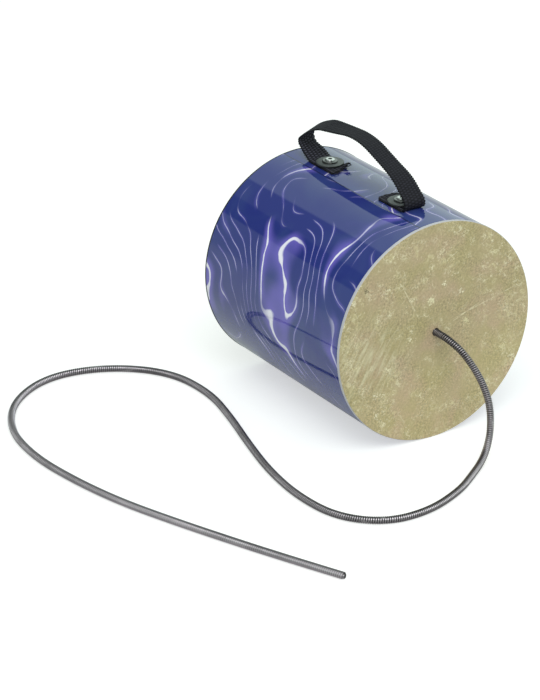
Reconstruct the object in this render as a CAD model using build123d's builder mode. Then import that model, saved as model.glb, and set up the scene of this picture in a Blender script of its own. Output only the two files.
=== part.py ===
from build123d import *
from math import degrees, pi, radians, sqrt, tan
import os

os.makedirs("parts", exist_ok=True)

# Spring drum: a fibre tube with a drum head at the front and an open rear, a carrying strap riveted
# along the top, and a long close-coiled spring that hangs from the middle of the head to the floor.
# Millimetres. +Z is up, the tube lies along Y and its head faces -Y. The origin is on the floor,
# below the middle of the tube.

# Tube and wrap
shell_outer_diameter = 151.4
shell_wall = 3.5
shell_length = 156.5
wrap_thickness = 0.25
glue_line = 0.05
lap_width = 12.0
lap_ramp_width = 3.0
lap_angle = 9.0  # degrees from the top towards -X, to the edge of the top layer

# Rings at the two ends
ring_proud = 0.2
hoop_thickness = 2.2
rim_thickness = 1.2
spigot_length = 5.0
spigot_wall = 1.2
spigot_clearance = 0.1
ring_edge_radius = 0.3

# Drum head and spring anchor
film_thickness = 0.3
film_setback = 0.3
film_hole_clearance = 0.3
anchor_disc_diameter = 24.0
anchor_disc_thickness = 2.0
anchor_disc_edge_radius = 0.8
anchor_hole_clearance = 0.15
ferrule_wall = 1.4
ferrule_length = 7.0
ferrule_crimp_depth = 0.4
ferrule_crimp_radius = 2.0
ferrule_bore_clearance = 0.05

# Spring
spring_diameter = 5.0
spring_tail = 1.0  # the coil's end stands this far out of the ferrule
swing_reach = 6.0  # from the head to the place where the coil starts to bend
swing_gap = 0.3

# Strap
strap_width = 16.0
strap_thickness = 1.5
rivet_spacing = 82.4
rivet_shift = 1.3  # the strap sits this far towards the open end
rear_tab_length = 14.3  # from the rivet to the cut end
front_tab_length = 15.7
front_corner_radius = 3.0
rear_lift = 15.0  # from the rear rivet to where the strap leaves the tube
rear_bend_reach = 31.0
rear_bend_height = 9.6
crest_reach = 4.5  # the crest starts behind the rear rivet
crest_height = 28.6
shoulder_setback = 41.9
shoulder_height = 31.8
front_knee_reach = 1.1
front_knee_height = 18.2
front_bend_reach = 21.1
lift_radius = 14.0
bend_radius = 4.0
crest_radius = 40.0
shoulder_radius = 60.0
knee_radius = 40.0
rear_cut_slant = 5.2  # the rear end is cut at a slant, longer on the -X side
lean_radius = 12.0  # the loop leans about the tabs, and starts this far from them
lean_gap = 0.3

# Rivets and washers
rivet_shank_diameter = 4.8
rivet_hole_clearance = 0.1
rivet_flange_diameter = 10.4
rivet_flange_thickness = 1.0
rivet_dome_diameter = 6.8
rivet_dome_height = 1.0
rivet_bulb_diameter = 7.4
rivet_bulb_length = 3.2
# Roundings are shares of what they are cut into, up to 1
dome_rounding = 0.9
flange_rounding = 0.5
bulb_rounding = 0.6
mandrel_head_rounding = 0.7
mandrel_diameter = 2.6
mandrel_clearance = 0.05
mandrel_recess = 0.5
mandrel_head_diameter = 4.6
mandrel_head_length = 2.4
washer_diameter = 19.0
washer_thickness = 1.2
washer_edge_radius = 0.4
backing_diameter = 14.0
backing_thickness = 1.0
seat_gap = 0.02

# Radii and heights that follow
shell_outer_radius = shell_outer_diameter / 2
shell_inner_radius = shell_outer_radius - shell_wall
wrap_inner_radius = shell_outer_radius + glue_line
wrap_outer_radius = wrap_inner_radius + wrap_thickness
ring_radius = wrap_outer_radius + ring_proud
spigot_radius = shell_inner_radius - spigot_clearance
ring_inner_radius = spigot_radius - spigot_wall
spring_radius = spring_diameter / 2
axis_height = ring_radius
wrap_top = axis_height + wrap_outer_radius

# Places along the tube that follow
overall_length = film_thickness + hoop_thickness + shell_length + rim_thickness
head_face_y = -overall_length / 2
hoop_front_y = head_face_y + film_thickness
shell_front_y = hoop_front_y + hoop_thickness
shell_rear_y = shell_front_y + shell_length
disc_back_y = hoop_front_y + anchor_disc_thickness
ferrule_back_y = disc_back_y + ferrule_length
rear_rivet_y = rivet_shift + rivet_spacing / 2
front_rivet_y = rivet_shift - rivet_spacing / 2
rivet_places = {"front": front_rivet_y, "rear": rear_rivet_y}
rear_cut_y = rear_rivet_y - rear_tab_length - rear_cut_slant / 2

# Heights of the riveted stack that follow
tab_bottom = wrap_top + glue_line
tab_middle = tab_bottom + strap_thickness / 2
tab_top = tab_bottom + strap_thickness
washer_top = tab_top + washer_thickness
flange_top = washer_top + rivet_flange_thickness
dome_top = flange_top + rivet_dome_height
backing_top = axis_height + sqrt(shell_inner_radius**2 - (backing_diameter / 2) ** 2) - seat_gap
backing_bottom = backing_top - backing_thickness
bulb_bottom = backing_bottom - seat_gap - rivet_bulb_length
rivet_hole_radius = rivet_shank_diameter / 2 + rivet_hole_clearance

# Planes and axes: the revolved pieces are drawn as radius against distance along the tube
tube_section = Plane.XY.offset(axis_height)
tube_axis = Axis((0, 0, axis_height), (0, 1, 0))
tube_centre = (0, axis_height)


def across_tube(y):
    """The plane across the tube at y: its local axes are X and Z, and it faces the head."""
    return Plane.XZ.offset(-y)


def rivet_bores():
    """Upright drills, one for each rivet, that reach from the tube's middle up past the strap."""
    with BuildPart() as bores:
        with BuildSketch(tube_section):
            with Locations(*[(0, y) for y in rivet_places.values()]):
                Circle(rivet_hole_radius)
        extrude(amount=dome_top - axis_height)
    return bores.part


def spigot_ring(ring_start, ring_thickness, inward):
    """A flat ring with a spigot inside the shell. Inward is the sign of the way into the tube."""
    ring_end = ring_start + inward * ring_thickness
    spigot_end = ring_end + inward * spigot_length
    with BuildPart() as ring:
        with BuildSketch(tube_section) as profile:
            with BuildLine():
                Polyline(
                    (ring_inner_radius, ring_start),
                    (ring_radius, ring_start),
                    (ring_radius, ring_end),
                    (spigot_radius, ring_end),
                    (spigot_radius, spigot_end),
                    (ring_inner_radius, spigot_end),
                    close=True,
                )
            make_face()
            outer_corners = profile.vertices().group_by(Axis.X)[-1]
            fillet(outer_corners, radius=ring_edge_radius)
        revolve(axis=tube_axis)
    return ring.part


def save(part, name):
    """Labels a finished piece and writes it under that name."""
    part.label = name
    export_step(part, f"parts/{name}.step")


drills = rivet_bores()

# Shell: a plain fibre tube, drilled for the rivets
with BuildPart() as shell:
    with BuildSketch(tube_section):
        with Locations((shell_inner_radius, shell_front_y)):
            Rectangle(shell_wall, shell_length, align=Align.MIN)
    revolve(axis=tube_axis)
    add(drills, mode=Mode.SUBTRACT)
save(shell.part, "shell")

# Printed wrap: one turn of film that laps over itself, so the top layer ends in a small step
lap_start = 90 + lap_angle
lap_span = degrees(lap_width / wrap_outer_radius)
lap_ramp = degrees(lap_ramp_width / wrap_outer_radius)
with BuildPart() as printed_wrap:
    with BuildSketch(across_tube(shell_rear_y)):
        with BuildLine():
            top_layer = CenterArc(tube_centre, wrap_outer_radius + wrap_thickness, lap_start, lap_span)
            turn_start = lap_start + lap_span + lap_ramp
            turn = CenterArc(tube_centre, wrap_outer_radius, turn_start, 360 - lap_span - lap_ramp)
            Line(top_layer @ 1, turn @ 0)
            Line(turn @ 1, top_layer @ 0)
        make_face()
        with Locations(tube_centre):
            Circle(wrap_inner_radius, mode=Mode.SUBTRACT)
    extrude(amount=shell_length)
    add(drills, mode=Mode.SUBTRACT)
save(printed_wrap.part, "printed_wrap")

# End rings: the pale hoop that carries the head, and the black ring round the open end
head_hoop = spigot_ring(hoop_front_y, hoop_thickness, 1)
save(head_hoop, "head_hoop")
rim_ring = spigot_ring(shell_rear_y + rim_thickness, rim_thickness, -1)
save(rim_ring, "rim_ring")

# Drum head: a thin film bonded to the hoop, holed for the spring
with BuildPart() as head_film:
    with BuildSketch(across_tube(hoop_front_y)):
        with Locations(tube_centre):
            Circle(ring_radius - film_setback)
            Circle(spring_radius + film_hole_clearance, mode=Mode.SUBTRACT)
    extrude(amount=film_thickness)
save(head_film.part, "head_film")

# Anchor disc: bonded behind the film, so that the spring's pull is spread
with BuildPart() as anchor_disc:
    with BuildSketch(across_tube(disc_back_y)):
        with Locations(tube_centre):
            Circle(anchor_disc_diameter / 2)
            Circle(spring_radius + anchor_hole_clearance, mode=Mode.SUBTRACT)
    extrude(amount=anchor_disc_thickness)
    back_rim = anchor_disc.faces().sort_by(Axis.Y)[-1].outer_wire().edges()
    fillet(back_rim, radius=anchor_disc_edge_radius)
save(anchor_disc.part, "anchor_disc")

# Ferrule: crimped on the spring's inner end, with the crimp as a groove round its middle
ferrule_bore = spring_radius + ferrule_bore_clearance
ferrule_radius = ferrule_bore + ferrule_wall
with BuildPart() as spring_ferrule:
    with BuildSketch(tube_section):
        with Locations((ferrule_bore, disc_back_y)):
            Rectangle(ferrule_wall, ferrule_length, align=Align.MIN)
        crimp_centre = ferrule_radius + ferrule_crimp_radius - ferrule_crimp_depth
        with Locations((crimp_centre, disc_back_y + ferrule_length / 2)):
            Circle(ferrule_crimp_radius, mode=Mode.SUBTRACT)
    revolve(axis=tube_axis)
save(spring_ferrule.part, "spring_ferrule")

# Spring, as its outer shape: the root stays in the head, and the run swings in front of it
swing_y = head_face_y - swing_reach
root_back_y = ferrule_back_y + spring_tail
root_front_y = swing_y + spring_radius + swing_gap
with BuildPart() as spring_root:
    with BuildSketch(across_tube(root_back_y)):
        with Locations(tube_centre):
            Circle(spring_radius)
    extrude(amount=root_back_y - root_front_y)
save(spring_root.part, "spring_root")

# Route of the run: x, distance in front of the head, height
spring_route = [
    (0, swing_reach, axis_height),
    (0, 11.9, axis_height),
    (4, 22.4, 70.8),
    (9, 29.4, 60.8),
    (14, 34.7, 48),
    (17, 38.4, 34),
    (15.5, 41.9, 19),
    (10, 45.9, 9),
    (0.5, 52.4, 3.6),
    (-13, 61.4, spring_radius),
    (-34, 75.4, spring_radius),
    (-66, 86.9, spring_radius),
    (-97, 84.4, spring_radius),
    (-119, 61.9, spring_radius),
    (-124, 25.9, spring_radius),
    (-120, -13.1, spring_radius),
    (-110.5, -52.1, spring_radius),
    (-99, -92.1, spring_radius),
    (-90, -133.1, spring_radius),
    (-95.5, -176.1, spring_radius),
    (-127, -207.1, spring_radius),
    (-169.5, -216.1, spring_radius),
    (-208.5, -194.6, spring_radius),
    (-231, -157.6, spring_radius),
    (-236.5, -115.1, spring_radius),
    (-231.5, -72.6, spring_radius),
    (-222, -30.6, spring_radius),
    (-207.5, 9.9, spring_radius),
    (-191.5, 49.9, spring_radius),
    (-175, 88.9, spring_radius),
    (-158, 126.4, spring_radius),
]
spring_points = [Vector(x, head_face_y - out, z) for x, out, z in spring_route]
exit_point = Vector(0, head_face_y, axis_height)


def bend_radii(points, lead_in):
    """Each bend takes 0.45 of the shorter run beside it. The first run counts from the head."""
    runs = [b - a for a, b in zip(points, points[1:])]
    runs[0] = points[1] - lead_in
    radii = []
    for before, after in zip(runs, runs[1:]):
        half_turn = radians(before.get_angle(after)) / 2
        radii.append(0.45 * min(before.length, after.length) / tan(half_turn))
    return radii


spring_radii = bend_radii(spring_points, exit_point)
with BuildPart() as spring_run:
    with BuildLine() as spring_path:
        FilletPolyline(*spring_points, radius=spring_radii)
    with BuildSketch(Plane(spring_points[0], z_dir=(0, -1, 0))):
        Circle(spring_radius)
    sweep()
    with BuildSketch(tube_section):
        with BuildLine():
            nose = CenterArc((0, swing_y), spring_radius, 0, 90)
            Line(nose @ 1, (0, swing_y))
            Line((0, swing_y), nose @ 0)
        make_face()
    revolve(axis=tube_axis)
save(spring_run.part, "spring_run")

path_length = spring_path.wire().length
nose_volume = 2 / 3 * pi * spring_radius**3
run_volume = pi * spring_radius**2 * path_length + nose_volume
print("spring bends, mm:", [round(r, 1) for r in spring_radii])
print("spring in front of the head, mm:", round(swing_reach + path_length, 1))
print("spring volume against section times length:", spring_run.part.volume / run_volume)

# Strap: webbing bent along one line in the plane of the tube's axis, its ends turned in under the loop
strap_line = [
    (rear_cut_y, tab_middle),
    (rear_rivet_y + rear_lift, tab_middle),
    (rear_rivet_y + rear_bend_reach, tab_middle + rear_bend_height),
    (rear_rivet_y + crest_reach, tab_middle + crest_height),
    (front_rivet_y + shoulder_setback, tab_middle + shoulder_height),
    (front_rivet_y - front_knee_reach, tab_middle + front_knee_height),
    (front_rivet_y - front_bend_reach, tab_middle),
    (front_rivet_y + front_tab_length, tab_middle),
]
strap_bends = [lift_radius, bend_radius, crest_radius, shoulder_radius, knee_radius, bend_radius]
with BuildPart() as whole_strap:
    with BuildSketch(Plane.YZ):
        with BuildLine():
            FilletPolyline(*strap_line, radius=strap_bends)
        trace(line_width=strap_thickness)
    extrude(amount=strap_width / 2, both=True)
    front_corners = whole_strap.edges().filter_by(Axis.Z).group_by(Axis.Y)[0]
    fillet(front_corners, radius=front_corner_radius)
    # The slanted cut takes a wedge off the rear end
    with BuildSketch(Plane.XY.offset(tab_bottom)):
        with BuildLine():
            Polyline(
                (-strap_width / 2, rear_cut_y),
                (strap_width / 2, rear_cut_y),
                (strap_width / 2, rear_cut_y + rear_cut_slant),
                close=True,
            )
        make_face()
    extrude(amount=strap_thickness, mode=Mode.SUBTRACT)
    add(drills, mode=Mode.SUBTRACT)

# The feet keep what lies within the lean radius of the tabs, and the loop what lies beyond it
lean_centre = (0, tab_middle)
strap_reach = overall_length / 2
for end, side in (("front", 1), ("rear", -1)):
    with BuildPart() as strap_foot:
        add(whole_strap.part)
        with BuildSketch(across_tube(rivet_shift)):
            with Locations(lean_centre):
                Circle(lean_radius)
        extrude(amount=side * strap_reach, mode=Mode.INTERSECT)
    save(strap_foot.part, f"strap_foot_{end}")

with BuildPart() as strap_loop:
    add(whole_strap.part)
    with BuildSketch(across_tube(rivet_shift)):
        with Locations(lean_centre):
            Circle(lean_radius + lean_gap)
    extrude(amount=strap_reach, both=True, mode=Mode.SUBTRACT)
save(strap_loop.part, "strap_loop")

# Rivets, washers and mandrels, the same at both ends of the strap
shank_radius = rivet_shank_diameter / 2
flange_radius = rivet_flange_diameter / 2
dome_radius = rivet_dome_diameter / 2
bulb_radius = rivet_bulb_diameter / 2
mandrel_radius = mandrel_diameter / 2
mandrel_head_radius = mandrel_head_diameter / 2
rivet_bore_radius = mandrel_radius + mandrel_clearance
for end, rivet_y in rivet_places.items():
    rivet_axis = Axis((0, rivet_y, 0), (0, 0, 1))

    with BuildPart() as washer:
        with BuildSketch(Plane.XY.offset(tab_top)):
            with Locations((0, rivet_y)):
                Circle(washer_diameter / 2)
                Circle(rivet_hole_radius, mode=Mode.SUBTRACT)
        extrude(amount=washer_thickness)
        top_rim = washer.faces().sort_by(Axis.Z)[-1].outer_wire().edges()
        fillet(top_rim, radius=washer_edge_radius)
    save(washer.part, f"washer_{end}")

    with BuildPart() as backing_washer:
        with BuildSketch(Plane.XY.offset(backing_bottom)):
            with Locations((0, rivet_y)):
                Circle(backing_diameter / 2)
                Circle(rivet_hole_radius, mode=Mode.SUBTRACT)
        extrude(amount=backing_thickness)
    save(backing_washer.part, f"backing_washer_{end}")

    with BuildPart() as rivet:
        with BuildSketch(across_tube(rivet_y)) as rivet_profile:
            with BuildLine():
                Polyline(
                    (rivet_bore_radius, bulb_bottom),
                    (bulb_radius, bulb_bottom),
                    (bulb_radius, backing_bottom - seat_gap),
                    (shank_radius, backing_bottom - seat_gap),
                    (shank_radius, washer_top),
                    (flange_radius, washer_top),
                    (flange_radius, flange_top),
                    (dome_radius, flange_top),
                    (dome_radius, dome_top),
                    (rivet_bore_radius, dome_top),
                    close=True,
                )
            make_face()
            # In this sketch X is the radius and Y the height
            dome_corner = rivet_profile.vertices().group_by(Axis.Y)[-1].sort_by(Axis.X)[-1]
            fillet(dome_corner, radius=rivet_dome_height * dome_rounding)
            flange_corner = rivet_profile.vertices().group_by(Axis.X)[-1].sort_by(Axis.Y)[-1]
            fillet(flange_corner, radius=rivet_flange_thickness * flange_rounding)
            bulb_corner = rivet_profile.vertices().group_by(Axis.Y)[0].sort_by(Axis.X)[-1]
            fillet(bulb_corner, radius=(bulb_radius - rivet_bore_radius) * bulb_rounding)
        revolve(axis=rivet_axis)
    save(rivet.part, f"rivet_{end}")

    with BuildPart() as mandrel:
        with BuildSketch(across_tube(rivet_y)) as mandrel_profile:
            head_top = bulb_bottom - seat_gap
            head_bottom = head_top - mandrel_head_length
            with BuildLine():
                Polyline(
                    (0, head_bottom),
                    (mandrel_head_radius, head_bottom),
                    (mandrel_head_radius, head_top),
                    (mandrel_radius, head_top),
                    (mandrel_radius, dome_top - mandrel_recess),
                    (0, dome_top - mandrel_recess),
                    close=True,
                )
            make_face()
            head_corner = mandrel_profile.vertices().group_by(Axis.Y)[0].sort_by(Axis.X)[-1]
            fillet(head_corner, radius=mandrel_head_radius * mandrel_head_rounding)
        revolve(axis=rivet_axis)
    save(mandrel.part, f"mandrel_{end}")
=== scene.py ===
import math

import bpy
import numpy as np
from bpy.props import FloatProperty, FloatVectorProperty, IntProperty, PointerProperty
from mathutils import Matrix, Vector


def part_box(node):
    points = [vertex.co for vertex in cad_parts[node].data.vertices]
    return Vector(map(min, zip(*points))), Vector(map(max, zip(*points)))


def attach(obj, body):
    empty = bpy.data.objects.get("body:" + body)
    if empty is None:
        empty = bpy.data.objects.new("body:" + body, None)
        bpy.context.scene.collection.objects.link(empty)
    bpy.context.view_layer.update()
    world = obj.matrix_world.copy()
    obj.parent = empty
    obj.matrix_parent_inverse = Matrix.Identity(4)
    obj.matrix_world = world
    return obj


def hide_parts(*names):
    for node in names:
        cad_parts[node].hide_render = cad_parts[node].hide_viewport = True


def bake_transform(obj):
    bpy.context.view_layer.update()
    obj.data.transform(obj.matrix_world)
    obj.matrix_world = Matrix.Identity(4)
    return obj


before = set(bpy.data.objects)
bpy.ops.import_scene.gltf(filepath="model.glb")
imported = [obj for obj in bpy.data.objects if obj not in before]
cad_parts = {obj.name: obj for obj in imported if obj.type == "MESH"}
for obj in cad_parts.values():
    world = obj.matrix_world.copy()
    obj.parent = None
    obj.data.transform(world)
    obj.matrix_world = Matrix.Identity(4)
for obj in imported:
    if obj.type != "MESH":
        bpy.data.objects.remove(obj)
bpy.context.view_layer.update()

bl_info = {
    "name": "Thunder Tube",
    "version": (1, 0, 0),
    "blender": (4, 5, 0),
    "location": "View3D > Sidebar > Thunder Tube",
    "description": "Dresses a spring drum: printed tube, drum head, coil spring and riveted strap",
    "category": "Add Mesh",
}

# The part lies along Y with its head facing -Y and its strap on top. Lengths are in metres, apart from
# the tables, which are in millimetres.
MM = 0.001
# The camera's place was worked out in radii of the tube
CAMERA_UNIT = 76.2 * MM


def linear(hex_colour):
    """The linear RGBA colour of an sRGB hex value such as "#2B3570"."""
    srgb = np.array([int(hex_colour[i:i + 2], 16) for i in (1, 3, 5)]) / 255
    low = srgb / 12.92
    high = ((srgb + 0.055) / 1.055) ** 2.4
    return (*np.where(srgb <= 0.04045, low, high).tolist(), 1.0)


# Places read from the frame
film_low, film_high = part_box("head_film")
wrap_low, wrap_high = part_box("printed_wrap")
shell_low, shell_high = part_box("shell")
hoop_low, hoop_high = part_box("head_hoop")
rim_low, rim_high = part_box("rim_ring")
disc_low, disc_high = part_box("anchor_disc")
ferrule_low, ferrule_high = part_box("spring_ferrule")
root_low, root_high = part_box("spring_root")
tab_low, tab_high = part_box("strap_foot_rear")
AXIS_HEIGHT = (film_low.z + film_high.z) / 2
HEAD_FACE = film_low.y
AXIS_POINT = (0.0, 0.0, AXIS_HEIGHT)


def rivet_place(end):
    """Where the rivet of that end stands on the tube: the middle of its washer, at its lower face."""
    low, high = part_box(f"washer_{end}")
    return Vector(((low.x + high.x) / 2, (low.y + high.y) / 2, low.z))


def tube_drop(x):
    """How far the round tube lies below its top line at a distance x beside it: R - sqrt(R^2 - x^2)."""
    return wrap_high.x - np.sqrt(wrap_high.x ** 2 - x ** 2)


# Route of the spring in millimetres: x, distance in front of the head, height
SPRING_ROUTE = [
    (0, -10.3, 76.2),
    (0, 0, 76.2),
    (0, 6.0, 76.2),
    (0, 11.9, 76.2),
    (4, 22.4, 70.8),
    (9, 29.4, 60.8),
    (14, 34.7, 48),
    (17, 38.4, 34),
    (15.5, 41.9, 19),
    (10, 45.9, 9),
    (0.5, 52.4, 3.6),
    (-13, 61.4, 2.5),
    (-34, 75.4, 2.5),
    (-66, 86.9, 2.5),
    (-97, 84.4, 2.5),
    (-119, 61.9, 2.5),
    (-124, 25.9, 2.5),
    (-120, -13.1, 2.5),
    (-110.5, -52.1, 2.5),
    (-99, -92.1, 2.5),
    (-90, -133.1, 2.5),
    (-95.5, -176.1, 2.5),
    (-127, -207.1, 2.5),
    (-169.5, -216.1, 2.5),
    (-208.5, -194.6, 2.5),
    (-231, -157.6, 2.5),
    (-236.5, -115.1, 2.5),
    (-231.5, -72.6, 2.5),
    (-222, -30.6, 2.5),
    (-207.5, 9.9, 2.5),
    (-191.5, 49.9, 2.5),
    (-175, 88.9, 2.5),
    (-158, 126.4, 2.5),
]

# Line of the strap in millimetres: rivet, distance from it towards the rear, height, bend radius
STRAP_BENDS = [
    ("rear", -16.9, 0.0, 0.0),
    ("rear", 11.5, 0.0, 12.0),
    ("rear", 31.6, 9.8, 4.0),
    ("rear", 18.6, 19.6, 60.0),
    ("rear", 4.5, 26.3, 40.0),
    ("front", 41.9, 32.7, 60.0),
    ("front", -0.2, 17.6, 40.0),
    ("front", -21.1, 0.0, 4.0),
    ("front", 16.4, 0.0, 0.0),
]

# Marks on the head in millimetres: x, height above the floor, size and colour
HEAD_MARKS = [
    (-4.3, 99.1, 3.4, "#EFE6BE"),
    (6.7, 108.5, 2.0, "#F7EFD0"),
    (19.8, 101.1, 1.8, "#F7EFD0"),
    (24.6, 78.5, 2.4, "#E6DBB0"),
    (55.3, 51.2, 2.4, "#EADFB4"),
    (15.1, 21.5, 2.2, "#EADFB4"),
    (-41.9, 41.0, 1.4, "#FBF5DC"),
    (-46.7, 41.5, 1.3, "#FBF5DC"),
    (-46.4, 27.0, 1.7, "#FBF5DC"),
    (-55.3, 118.6, 1.5, "#4A4326"),
]


# Settings that a user would change

def size_property(name, description, millimetres):
    """A length, given in millimetres and kept in metres."""
    return FloatProperty(name=name, description=description, default=millimetres * MM, unit="LENGTH")


def colour_property(name, description, hex_colour):
    """A colour, given as an sRGB hex value and kept as linear."""
    return FloatVectorProperty(
        name=name, description=description, default=linear(hex_colour), size=4, subtype="COLOR")


class TubeSettings(bpy.types.PropertyGroup):
    wrap_wall: size_property("Wrap wall", "Thickness of the printed film", 0.25)
    lap_angle: FloatProperty(
        name="Lap angle", description="From the top of the tube to the free edge of the film",
        default=math.radians(9.6), subtype="ANGLE")
    lap_width: size_property("Lap width", "How far the film laps over itself", 12)
    lap_ramp: size_property("Lap ramp", "Where the film comes down past its own edge", 16)
    shell_wall: size_property("Shell wall", "Thickness of the fibre tube", 3.5)
    spigot_gap: size_property("Spigot gap", "Between the rings' spigots and the shell", 0.1)
    spigot_wall: size_property("Spigot wall", "Thickness of the spigots inside the shell", 1.2)
    ring_edge: size_property("Ring edge", "Rounding of the rings' outer edges", 0.3)
    print_dark: colour_property("Print, dark", "Deep indigo of the print", "#2D3781")
    print_light: colour_property("Print, light", "Paler clouds of the print", "#364483")
    glow: colour_property("Glow", "Violet along the veins", "#7A6CD0")
    vein: colour_property("Vein", "Core of the veins", "#F6F1FF")
    kraft: colour_property("Kraft", "Wound paper of the shell", "#8A6A48")
    hoop: colour_property("Hoop", "Pale ring behind the head", "#C4C1C8")
    rim: colour_property("Rim", "Black ring round the open end", "#1B1B20")


class HeadSettings(bpy.types.PropertyGroup):
    hole_gap: size_property("Hole gap", "Between the spring and the film", 0.3)
    pull: size_property("Pull", "How far the spring draws the film out at the hole", 0.35)
    film: colour_property("Film", "Main colour of the head", "#BDA984")
    film_green: colour_property("Film, olive", "Greener clouds in the head", "#B7A77A")
    film_tan: colour_property("Film, tan", "Redder clouds in the head", "#C2A88A")
    fleck: colour_property("Fleck", "Small bright flecks and creases", "#F2E8C6")
    fleck_soft: colour_property("Soft fleck", "Larger yellow flecks", "#DACC9F")
    fibre: colour_property("Disc", "Pressed fibre of the anchor disc", "#3A2E28")


class SpringSettings(bpy.types.PropertyGroup):
    # The wire and its pitch are coarser than the real ones, so that the turns show
    wire: size_property("Wire", "Diameter of the wire", 1.36)
    pitch: size_property("Pitch", "From one turn to the next", 1.44)
    turn_steps: IntProperty(
        name="Steps", description="Points along each turn of the coil", default=15)
    steel: colour_property("Steel", "Drawn wire", "#E0D7DE")
    ferrule_wall: size_property(
        "Ferrule wall", "Wall of the ferrule on the spring's inner end", 1.4)
    crimp: size_property("Crimp", "Depth of the groove round the ferrule", 0.4)


class StrapSettings(bpy.types.PropertyGroup):
    thickness: size_property("Thickness", "Thickness of the webbing", 1.5)
    # Ribs and yarns are coarser than the real ones, so that they show
    rib_pitch: size_property("Rib pitch", "Distance between the cross ribs", 1.9)
    yarns: IntProperty(
        name="Yarns", description="Columns of yarn across the webbing", default=6)
    relief: size_property("Relief", "Height of the ribs", 0.45)
    cut_slant: size_property("Cut slant", "How much further the rear end reaches on one edge", 5.2)
    corner: size_property("Corner", "Rounding of the front end's corners", 3.4)
    rear_twist: size_property(
        "Rear twist", "How far the loop's left edge drops behind the crest", 2.4)
    front_twist: size_property(
        "Front twist", "How far the loop's left edge lifts in front of the crest", 1.1)
    curl: size_property("Curl", "How far the cut end's right corner stands up", 3.0)
    tooth: size_property("Tooth", "How far the cut end's right corner stands out of the cut", 1.6)
    fray: size_property("Fray", "Length of the loose threads at the rear end", 2.0)
    nylon: colour_property("Nylon", "Black yarn", "#2C2B33")


class RivetSettings(bpy.types.PropertyGroup):
    shank: size_property("Shank", "Diameter of the rivet's shank", 4.8)
    dome: size_property("Dome", "Diameter of the dome on the flange", 6.8)
    dome_height: size_property("Dome height", "Height of the dome and of the flange", 1.0)
    bulb: size_property("Bulb", "Diameter of the set end inside the tube", 7.4)
    bulb_length: size_property("Bulb length", "Length of the set end", 3.2)
    bore: size_property("Bore", "Diameter of the hole for the mandrel", 2.7)
    neck: size_property("Neck", "Diameter of the mandrel where it broke", 1.5)
    groove: size_property("Groove", "Depth of the groove round the broken mandrel", 0.6)
    hole: size_property("Hole", "Diameter of the washers' holes", 5.0)
    aluminium: colour_property("Aluminium", "Bright metal of the rivets", "#E3E6E6")
    zinc: colour_property("Dull zinc", "Weathered plating of the washers", "#787B7C")
    plated: colour_property("Bright zinc", "Plating of the hidden hardware", "#B9BABA")


class StageSettings(bpy.types.PropertyGroup):
    floor_size: FloatProperty(
        name="Floor size", description="Half the width of the floor",
        default=8.0, unit="LENGTH")
    floor: colour_property("Floor", "Pale floor", "#D6D6D6")
    floor_white: FloatProperty(
        name="Floor white", description="What the eye sees of the floor beyond its lit colour",
        default=0.54)
    mirrored_white: FloatProperty(
        name="Mirrored white", description="Share of that white which mirrors show", default=0.28)
    air: colour_property("Walls", "Colour of the walls and ceiling", "#EEFFF6")
    sky: FloatProperty(
        name="Soft light", description="Level of the even light from all round", default=0.62)
    key_power: FloatProperty(
        name="Key light", description="Power of the large soft light", default=64.0, unit="POWER")
    focal: FloatProperty(
        name="Lens", description="Focal length in millimetres", default=154.286, unit="CAMERA")
    azimuth: FloatProperty(
        name="Azimuth", description="Camera's turn about the upright axis",
        default=math.radians(-33.346), subtype="ANGLE")
    elevation: FloatProperty(
        name="Elevation", description="Camera's height as an angle",
        default=math.radians(24.917), subtype="ANGLE")
    distance: FloatProperty(
        name="Distance", description="From the camera to the plane through the tube's middle",
        default=26.386 * CAMERA_UNIT, unit="LENGTH")
    shift_right: FloatProperty(
        name="Shift right", description="Camera's place beside the tube's middle",
        default=-0.8339 * CAMERA_UNIT, unit="LENGTH")
    shift_up: FloatProperty(
        name="Shift up", description="Camera's place above the tube's middle",
        default=-0.5252 * CAMERA_UNIT, unit="LENGTH")


class ThunderTubeSettings(bpy.types.PropertyGroup):
    tube: PointerProperty(type=TubeSettings)
    head: PointerProperty(type=HeadSettings)
    spring: PointerProperty(type=SpringSettings)
    strap: PointerProperty(type=StrapSettings)
    rivet: PointerProperty(type=RivetSettings)
    stage: PointerProperty(type=StageSettings)


# Surfaces

def grid_quads(rows, columns, close_rows, close_columns):
    """Quads between neighbours on a grid of points, which face along d/drow x d/dcolumn.
    A closed direction also joins its last points to its first."""
    row, column = np.meshgrid(
        np.arange(rows if close_rows else rows - 1),
        np.arange(columns if close_columns else columns - 1),
        indexing="ij")
    next_row = (row + 1) % rows
    next_column = (column + 1) % columns
    corners = [
        row * columns + column,
        next_row * columns + column,
        next_row * columns + next_column,
        row * columns + next_column,
    ]
    return np.stack(corners, axis=-1).reshape(-1, 4)


def cap_quads(ring):
    """A strip of quads that closes a ring of an even number of points, taken as two facing rows."""
    near = ring[:len(ring) // 2]
    far = ring[::-1][:len(ring) // 2]
    return np.stack([near[:-1], near[1:], far[1:], far[:-1]], axis=-1)


def grid_uv(rows, columns, u, v):
    """Unrolled places of each quad's corners on a grid that is closed both ways, from the values of u
    by column and v by row."""
    row, column = np.meshgrid(np.arange(rows), np.arange(columns), indexing="ij")
    corner_u = np.stack([u[column], u[column], u[column + 1], u[column + 1]], axis=-1)
    corner_v = np.stack([v[row], v[row + 1], v[row + 1], v[row]], axis=-1)
    return np.stack([corner_u, corner_v], axis=-1).reshape(-1, 2)


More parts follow.
